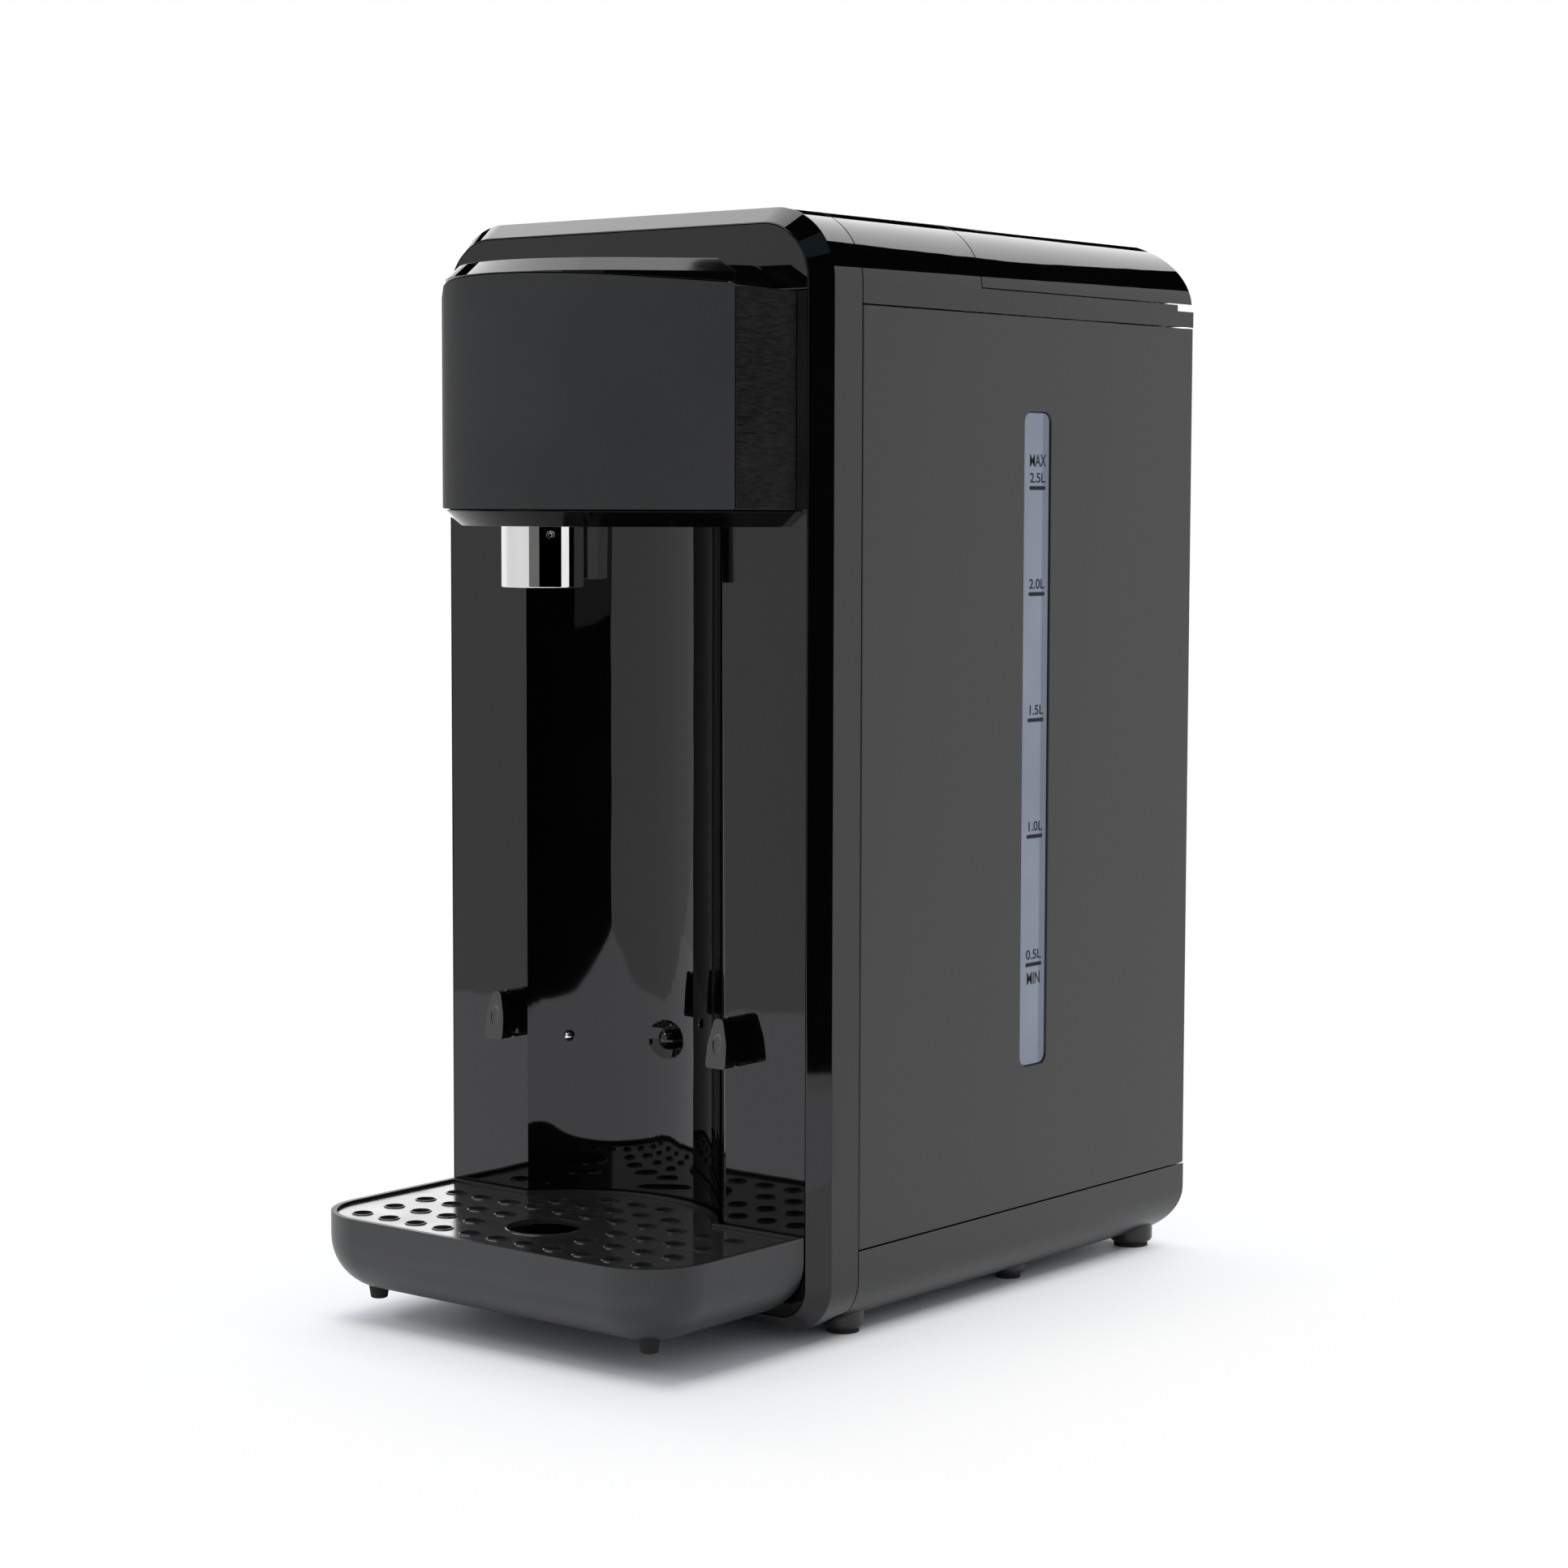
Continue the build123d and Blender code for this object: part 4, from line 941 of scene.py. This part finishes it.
def makeHead():
    h = head
    seamY = headSeam()[1]
    plate = headPrism(0, h["plateBottom"], h["top"] + 5)
    inside = headPrism(h["skin"], h["plateBottom"] - 5, h["top"] + 10)
    plate = combine(plate, inside, "DIFFERENCE")
    plate = combine(plate, blockMesh((-90, -90, 200), (90, seamY - shell["gap"], 400)), "INTERSECT")
    slopeTool = cutSlope(blockMesh((-90, -90, 200), (90, 10, 400)), 0)
    plate = combine(plate, slopeTool, "INTERSECT")
    replaceNode(plate, "head_front_plate", edge=0.3, sharp=40)

    coreLow = h["plateBottom"] - shell["gap"] * 0.95
    core = keepBetween(headPrism(h["skin"] + shell["fit"], coreLow, h["top"] + 5), -90, -0.05)
    flank = keepBetween(headPrism(0, h["plateBottom"], h["top"] + 5), seamY, 0)
    body = joinInto(cutSlope(flank, h["coreDrop"]), cutSlope(core, h["coreDrop"]))
    replaceNode(body, "head_body", edge=0.3, sharp=40)

    low = h["plateTop"] - h["capOverlap"]
    front = keepBetween(capBlock(low, h["top"] - h["capFall"], h["capRun"], h["capFall"]), -90, seamY)
    rootHigh = h["top"] - h["rootDrop"] - h["rootFall"]
    root = keepBetween(rootBlock(low, rootHigh, h["rootRun"], h["rootFall"]), seamY - 0.2, 0)
    cap = joinInto(cutSlope(front, -shell["gap"], False), cutSlope(root, -shell["gap"], False))
    replaceNode(cap, "head_top_cap", edge=0.5, sharp=20)


makeHead()

spout = {
    "y": -32.1,
    "radius": 11.05,
    "wall": 1.6,
    "flange": 1.3,
    "flangeHigh": 2.0,
    "edge": 0.35,
    "screw": 1.15,
    "screwDrop": 2.3,
    "screwSocket": 0.6,
    "azimuth": 54.0,
}


def makeBottomCap():
    h = head
    bm = capBlock(h["bottom"] + h["bottomFall"], h["plateBottom"] - shell["gap"], h["bottomRun"], -h["bottomFall"])
    bm = keepBetween(bm, -90, 0)
    hole = bmesh.new()
    addRound(hole, spout["radius"] + shell["fit"], 200, 240, (0, spout["y"]))
    bm = combine(bm, hole, "DIFFERENCE")
    replaceNode(bm, "head_bottom_cap", underGloss, edge=0.5, sharp=20)


makeBottomCap()


def spoutPlug(radius, outside, inside, sides):
    # a short round through the spout's wall, measured inwards from its outer face
    made = bmesh.new()
    low, high = outside - spout["radius"], inside - spout["radius"]
    addRound(made, radius, low, high, (0, head["bottom"] - spout["screwDrop"]), "Y", sides)
    return made


def makeSpout():
    s = spout
    low, high = nodeBox("spout")
    r, inner, edge = s["radius"], s["radius"] - s["wall"], s["edge"]
    wide, shoulder = r + s["flange"], high.z - s["flangeHigh"]
    curve = [(inner, high.z), (inner, low.z + edge), (inner + 0.1, low.z + 0.1), (inner + edge, low.z)]
    curve += [(r - edge, low.z), (r - 0.1, low.z + 0.1), (r, low.z + edge)]
    curve += [(r, shoulder), (wide, shoulder), (wide, high.z), (inner, high.z)]
    bm = bmesh.new()
    spinChain(bm, [(reach, s["y"], z) for reach, z in curve], (0, s["y"], 0), steps=128)
    closeUp(bm, 0.001)
    turn = Matrix.Translation((0, s["y"], 0)) @ Matrix.Rotation(math.radians(s["azimuth"]), 4, "Z")
    drill = spoutPlug(s["screw"], -3, s["wall"] + 0.4, 48)
    bmesh.ops.transform(drill, matrix=turn, verts=drill.verts)
    bm = combine(bm, drill, "DIFFERENCE")
    replaceNode(bm, "spout", edge=0.12, sharp=40)

    screw = spoutPlug(s["screw"] - 0.05, 0.25, s["wall"], 40)
    screw = combine(screw, spoutPlug(s["screwSocket"], -1, 1.2, 6), "DIFFERENCE")
    bmesh.ops.transform(screw, matrix=turn, verts=screw.verts)
    replaceNode(screw, "spout_grub_screw", edge=0.08)


makeSpout()
print("head and spout made")

pegs = {
    "x": 41.1,
    "z": 82.2,
    "low": 7.0,
    "waist": 6.5,
    "high": 2.8,
    "height": 13.4,
    "round": 1.1,
    "lean": 0.12,
    "dimple": (1.5, 0.35, 3.0),
    "run": ((-8.1, -4.6, 0.0), (-4.6, -3.2, 0.8), (-3.2, 0.0, 0.0)),
}


def makePegs():
    # each peg is a front lobe, a neck and a rear lobe: from, to and inset along Y
    p = pegs
    bm = bmesh.new()
    for sign in (-1, 1):
        for y0, y1, inset in p["run"]:
            low, waist, high = (p[key] / 2 - inset for key in ("low", "waist", "high"))
            reach = p["height"] / 2 - inset
            corners = ((-low, -reach), (low, -reach), (waist, 0), (high, reach), (-high, reach), (-waist, 0))
            one = bmesh.new()
            face = one.faces.new([one.verts.new((sign * p["x"] + x, y0, p["z"] + z)) for x, z in corners])
            raiseFace(one, face, (0, y1 - y0, 0))
            closeUp(one)
            upright = edgesWhere(one, lambda mid, e: runsAlong(e, 1))
            roundEdges(one, upright, p["round"] - inset * 0.6, 6)
            if y0 == p["run"][0][0]:
                for v in one.verts:
                    if v.co.y < y0 + 0.01:
                        v.co.y += p["lean"] * (v.co.z - p["z"])
                dimple = bmesh.new()
                addBall(dimple, 1, (sign * p["x"], y0, p["z"]), stretch=p["dimple"], lean=-p["lean"])
                one = combine(one, dimple, "DIFFERENCE")
            joinInto(bm, one)
    replaceNode(bm, "wall_pegs", pegGloss)


makePegs()

stud = {"x": 28.0, "z": 75.6, "radius": 1.5, "sink": 0.75}


def makeStuds():
    # small balls half sunk in the bay's wall
    studs = bmesh.new()
    r = stud["radius"]
    angle = math.asin(stud["x"] / bay["radius"])
    out = bay["radius"] - stud["sink"]
    bends = [math.radians(a) for a in range(0, 181, 12)]
    for sign in (-1, 1):
        ball = bmesh.new()
        spinChain(ball, [(0.001 + r * math.sin(a), 0, r * math.cos(a)) for a in bends], (0, 0, 0), steps=36)
        closeUp(ball, 0.01)
        place = (sign * out * math.sin(angle), bay["centreY"] + out * math.cos(angle), stud["z"])
        bmesh.ops.translate(ball, vec=place, verts=ball.verts)
        joinInto(studs, ball)
    replaceNode(studs, "wall_studs", edge=0)


makeStuds()


def makeSensor():
    # a shallow dome on a stem that ends in the bay's wall
    s = sensor
    r, tip = s["radius"], bay["rear"] - s["reach"]
    rim = math.acos((r - s["reach"]) / r)
    bends = [rim * i / 12 for i in range(13)]
    points = [(0.001 + r * math.sin(a), tip + r - r * math.cos(a)) for a in bends]
    floor, end = bay["rear"] + s["sink"], bay["rear"] + s["rear"]
    points += [(r * math.sin(rim), floor), (s["stem"], floor), (s["stem"], end), (0.001, end)]
    dome = bmesh.new()
    spinChain(dome, [(reach, y, s["z"]) for reach, y in points], (0, 0, s["z"]), axis=(0, 1, 0), steps=48)
    closeUp(dome, 0.005)
    replaceNode(dome, "cup_sensor", edge=0)


makeSensor()

tray = {
    "halfWidth": 65.3,
    "front": -61.0,
    "rear": -0.6,
    "bottom": 9.5,
    "rim": 31.2,
    "corner": 20.0,
    "edge": 15.0,
    "rearEdge": 10.0,
    "wall": 1.6,
    "ledge": 1.8,
    "floor": 2.2,
    "lobe": 42.7,
    "lobeFront": -15.6,
    "lobeBottom": 17.0,
    "seat": 29.2,
}
leg = {"x": 49.9, "y": -46.0, "low": 6.2, "high": 10.6}


def trayRun(inset, z0, z1):
    t = tray
    bm = blockMesh(
        (-t["halfWidth"] + inset, t["front"] + inset, z0), (t["halfWidth"] - inset, t["rear"] - inset, z1)
    )
    corners = edgesWhere(bm, lambda mid, e: runsAlong(e, 2) and mid.y < -30)
    roundEdges(bm, corners, t["corner"] - inset, 16)
    return bm


def trayLobe(inset, z0, z1):
    bm = bmesh.new()
    addRound(bm, tray["lobe"] - inset, z0, z1, (0, bay["centreY"]), sides=144)
    return combine(bm, blockMesh((-90, tray["lobeFront"], 0), (90, 90, 100)), "INTERSECT")


def trayBody(inset, z0, z1):
    t = tray
    bm = trayRun(inset, z0, z1)
    rear = t["rear"] - inset
    rim = edgesWhere(bm, lambda mid, e: all(v.co.z < z0 + 0.001 for v in e.verts) and mid.y < rear - 0.01)
    roundEdges(bm, rim, t["edge"] - inset, 12)
    profile = sideProfileBlock(rear, z0, z0 + 200, t["rearEdge"] - inset, False)
    bm = combine(bm, profile, "INTERSECT")
    return combine(bm, trayLobe(inset, t["lobeBottom"] + z0 - t["bottom"], z1), "UNION")


def makeTray():
    t = tray
    bm = trayBody(0, t["bottom"], t["rim"])
    bm = combine(bm, trayBody(t["wall"] + t["ledge"], t["bottom"] + t["floor"], t["rim"] + 2), "DIFFERENCE")
    seat = (t["wall"], t["seat"], t["rim"] + 3)
    bm = combine(bm, combine(trayRun(*seat), trayLobe(*seat), "UNION"), "DIFFERENCE")
    tonguePair(bm, 0.1 - t["wall"], tongue["rear"])
    replaceNode(bm, "drip_tray", body="tray", edge=0.3, sharp=35)


def makeLegs():
    # small tapered feet under the tray's front corners
    low, high, y = leg["low"], leg["high"], leg["y"]
    curve = [(0.01, low), (1.9, low), (2.25, low + 0.15), (2.4, low + 0.5)]
    curve += [(2.85, high - 1), (2.85, high), (0.01, high)]
    legs = bmesh.new()
    for x in (-leg["x"], leg["x"]):
        spinChain(legs, [(x + reach, y, z) for reach, z in curve], (x, y, 0), steps=40)
    closeUp(legs, 0.005)
    replaceNode(legs, "tray_feet", body="tray", edge=0)


makeTray()
makeLegs()

grille = {
    "inset": 2.0,
    "thick": 1.2,
    "hole": 2.65,
    "lip": 0.5,
    "lipCrest": 0.2,
    "lipRise": 0.28,
    "pitchX": 10.3,
    "rows": (-50.6, -38.2, -25.8, -13.4),
    "columns": 11,
    "lobeRows": ((-3.7, 5), (6.0, 3)),
    "drain": 10.3,
}


def grilleSpots():
    g = grille
    spots = []
    for y in g["rows"]:
        for column in range(g["columns"]):
            x = (column - (g["columns"] - 1) / 2) * g["pitchX"]
            if math.hypot(x, y - spout["y"]) > g["drain"] + g["hole"]:
                spots.append((x, y))
    for y, count in g["lobeRows"]:
        spots += [((column - (count - 1) / 2) * g["pitchX"], y) for column in range(count)]
    return spots


def makeGrille():
    g = grille
    low, high = tray["seat"], tray["seat"] + g["thick"]
    bm = combine(trayRun(g["inset"], low, high), trayLobe(g["inset"], low, high), "UNION")
    # each hole is drawn up into a small sloping lip
    lips, holes = bmesh.new(), bmesh.new()
    spots = [(x, y, g["hole"], 56) for x, y in grilleSpots()] + [(0, spout["y"], g["drain"], 96)]
    for x, y, radius, sides in spots:
        outer, inner, crest = radius + g["lip"], radius + g["lipCrest"], high + g["lipRise"]
        addRound(lips, outer, high - 0.01, crest, (x, y), sides=sides, tip=inner)
        addRound(holes, radius, low - 2, high + 2, (x, y), sides=sides)
    bm = combine(bm, lips, "UNION")
    bm = combine(bm, holes, "DIFFERENCE")
    replaceNode(bm, "drip_grille", body="grille", edge=0.12)


makeGrille()
print("tray and grille made")

# The floor keeps the shadow round the footprint and fades to plain white: distance in metres and share of white
stage = {
    "floor": 6.0,
    "footprint": (0.06, 0.11, 10.0),
    "fade": ((0.0, 0.0), (0.01, 0.56), (0.025, 0.67), (0.045, 0.74), (0.08, 0.9), (0.14, 1.0)),
    "dark": (0.84, 0.865, 0.90),
    "light": (0.86, 0.885, 0.92),
}


def rayTest(tree, *kinds):
    # 1 for rays of any of these kinds, 0 for all others
    rays = addNode(tree, "LightPath")
    last = rays.outputs[f"Is {kinds[0]} Ray"]
    for kind in kinds[1:]:
        inputs = {0: last, 1: rays.outputs[f"Is {kind} Ray"]}
        last = addNode(tree, "Math", inputs, operation="MAXIMUM").outputs[0]
    return last


def footprintDistance(tree):
    # how far a point of the floor lies outside a box round the origin
    last = addNode(tree, "TexCoord").outputs["Object"]
    for operation, other in (("ABSOLUTE", (0, 0, 0)), ("SUBTRACT", stage["footprint"]), ("MAXIMUM", (0, 0, 0))):
        last = addNode(tree, "VectorMath", {0: last, 1: other}, operation=operation).outputs["Vector"]
    return addNode(tree, "VectorMath", {0: last}, operation="LENGTH").outputs["Value"]


def makeFloor():
    bm = bmesh.new()
    bmesh.ops.create_grid(bm, x_segments=4, y_segments=4, size=stage["floor"])
    floor = toObject(bm, "floor")
    material, tree, shader = newMaterial("paleFloor")
    slow = pattern(tree, 3.0, detail=1.0)
    colour = twoTone(tree, slow, stage["dark"], stage["light"])
    setInputs(tree, shader, {"Base Color": colour, "Roughness": 0.6, "Specular IOR Level": 0.2})
    white = colourRamp(tree, footprintDistance(tree), [(place, (level,) * 3) for place, level in stage["fade"]])
    amount = addNode(tree, "Math", {0: white, 1: rayTest(tree, "Camera", "Glossy")}, operation="MULTIPLY")
    glow = addNode(tree, "Emission", {"Strength": 1.0})
    mix = addNode(tree, "MixShader", {0: amount.outputs[0], 1: shader.outputs[0], 2: glow.outputs[0]})
    tree.links.new(mix.outputs[0], tree.nodes["Material Output"].inputs["Surface"])
    floor.data.materials.append(material)


makeFloor()


def makeWorld():
    # plain white where it is seen, directly or in a reflection, and softer as a light
    world = bpy.data.worlds.new("studio")
    bpy.context.scene.world = world
    world.use_nodes = True
    tree = world.node_tree
    tree.nodes.clear()
    soft = addNode(tree, "Background", {"Color": (0.95, 0.97, 1.0, 1), "Strength": 0.75})
    white = addNode(tree, "Background", {"Color": (1, 1, 1, 1), "Strength": 1.0})
    seen = rayTest(tree, "Camera", "Glossy", "Transmission")
    mix = addNode(tree, "MixShader", {0: seen, 1: soft.outputs[0], 2: white.outputs[0]})
    addNode(tree, "OutputWorld", {"Surface": mix.outputs[0]})


makeWorld()

# A broad soft box hangs above and behind, a smaller one stands high at the front left, and one lights the rear.
lamps = {
    "overhead": {
        "at": (-0.326, 0.886, 1.2),
        "aim": (-0.326, 0.886, 0),
        "size": (1.15, 1.71),
        "turn": -21.5,
        "power": 17.4,
    },
    "frontLeft": {"at": (-0.62, -0.95, 0.95), "aim": (0, 0, 0.2), "size": (0.6, 0.4), "turn": 0, "power": 3.0},
    "behind": {"at": (-1.3, 2.0, 0.45), "aim": (0, 0, 0.25), "size": (1.5, 0.8), "turn": 0, "power": 5.0},
}


def makeLamps():
    for name, plan in lamps.items():
        data = bpy.data.lights.new(name, "AREA")
        data.shape = "RECTANGLE"
        data.size, data.size_y = plan["size"]
        data.energy = plan["power"]
        lamp = bpy.data.objects.new(name, data)
        lamp.location = plan["at"]
        away = Vector(plan["at"]) - Vector(plan["aim"])
        turned = away.to_track_quat("Z", "Y") @ Quaternion((0, 0, 1), math.radians(plan["turn"]))
        lamp.rotation_euler = turned.to_euler()
        lamp.visible_camera = False
        bpy.context.scene.collection.objects.link(lamp)


makeLamps()

# Cards that only the gloss of the object sees. Each stands on its plan, or lies flat where it has a run; metres.
cards = {
    "greyCard": {
        "plan": ((-1.7, -0.48), (-0.35, -0.49), (0.07, -0.91)),
        "low": 0.002,
        "high": 0.5,
        "light": (0.8, 0.8, 0.79),
    },
    "darkCard": {
        "plan": ((0.07, -0.91), (0.455, -0.37), (0.485, -0.2), (0.49, -0.04)),
        "low": 0.002,
        "high": 0.62,
        "light": (0.0, 0.0, 0.0),
    },
    "dimCard": {"plan": ((0.062, -0.88), (0.3, -0.55)), "low": 0.17, "high": 0.62, "light": (0.16, 0.16, 0.155)},
    "upperCard": {
        "plan": ((0.07, -0.91), (0.455, -0.37), (0.49, -0.04)),
        "low": 0.62,
        "high": 1.27,
        "light": (0.13, 0.19, 0.24),
    },
    "boxFront": {
        "plan": ((-1.712, 0.299), (-0.177, -0.306)),
        "low": 1.2,
        "run": (0.073, 0.186),
        "light": (2.95, 2.95, 2.95),
    },
    "boxLeft": {
        "plan": ((-1.639, 0.485), (-1.174, 0.302)),
        "low": 1.2,
        "run": (0.22, 0.558),
        "light": (2.95, 2.95, 2.95),
    },
    "floorCard": {
        "plan": ((-0.7, -0.92), (0.45, -0.92)),
        "low": 0.0015,
        "run": (0, 0.78),
        "light": (1.18, 1.19, 1.25),
    },
    "ceilingCard": {"plan": ((-2.6, -2.6), (2.6, -2.6)), "low": 1.27, "run": (0, 5.2), "light": (0.0, 0.0, 0.0)},
}


def cardMaterial(name, light):
    material, tree = newMaterial(name)[:2]
    tree.nodes.clear()
    glow = addNode(tree, "Emission", {"Color": (*light, 1)})
    addNode(tree, "OutputMaterial", {"Surface": glow.outputs[0]})
    return material


def makeCards():
    for name, c in cards.items():
        bm = bmesh.new()
        addChain(bm, [(x, y, c["low"]) for x, y in c["plan"]])
        made = bmesh.ops.extrude_edge_only(bm, edges=list(bm.edges))["geom"]
        far = [v for v in made if isinstance(v, bmesh.types.BMVert)]
        step = (*c["run"], 0) if "run" in c else (0, 0, c["high"] - c["low"])
        bmesh.ops.translate(bm, vec=step, verts=far)
        card = toObject(bm, name)
        card.data.materials.append(cardMaterial(name, c["light"]))
        card.visible_camera = False
        card.visible_diffuse = False
        card.visible_shadow = False
        card.visible_transmission = False


makeCards()

cameraSetup = {"at": (0.6337, -0.77885, 0.2283), "turn": (85.3167, -0.158, 38.7445), "lens": 79.49, "sensor": 36}


def makeCamera():
    data = bpy.data.cameras.new("camera")
    data.lens = cameraSetup["lens"]
    data.sensor_width = cameraSetup["sensor"]
    data.clip_start = 0.01
    camera = bpy.data.objects.new("camera", data)
    camera.location = cameraSetup["at"]
    camera.rotation_euler = [math.radians(a) for a in cameraSetup["turn"]]
    bpy.context.scene.collection.objects.link(camera)
    bpy.context.scene.camera = camera


makeCamera()
bpy.context.scene.view_settings.view_transform = "Standard"
print("stage ready")
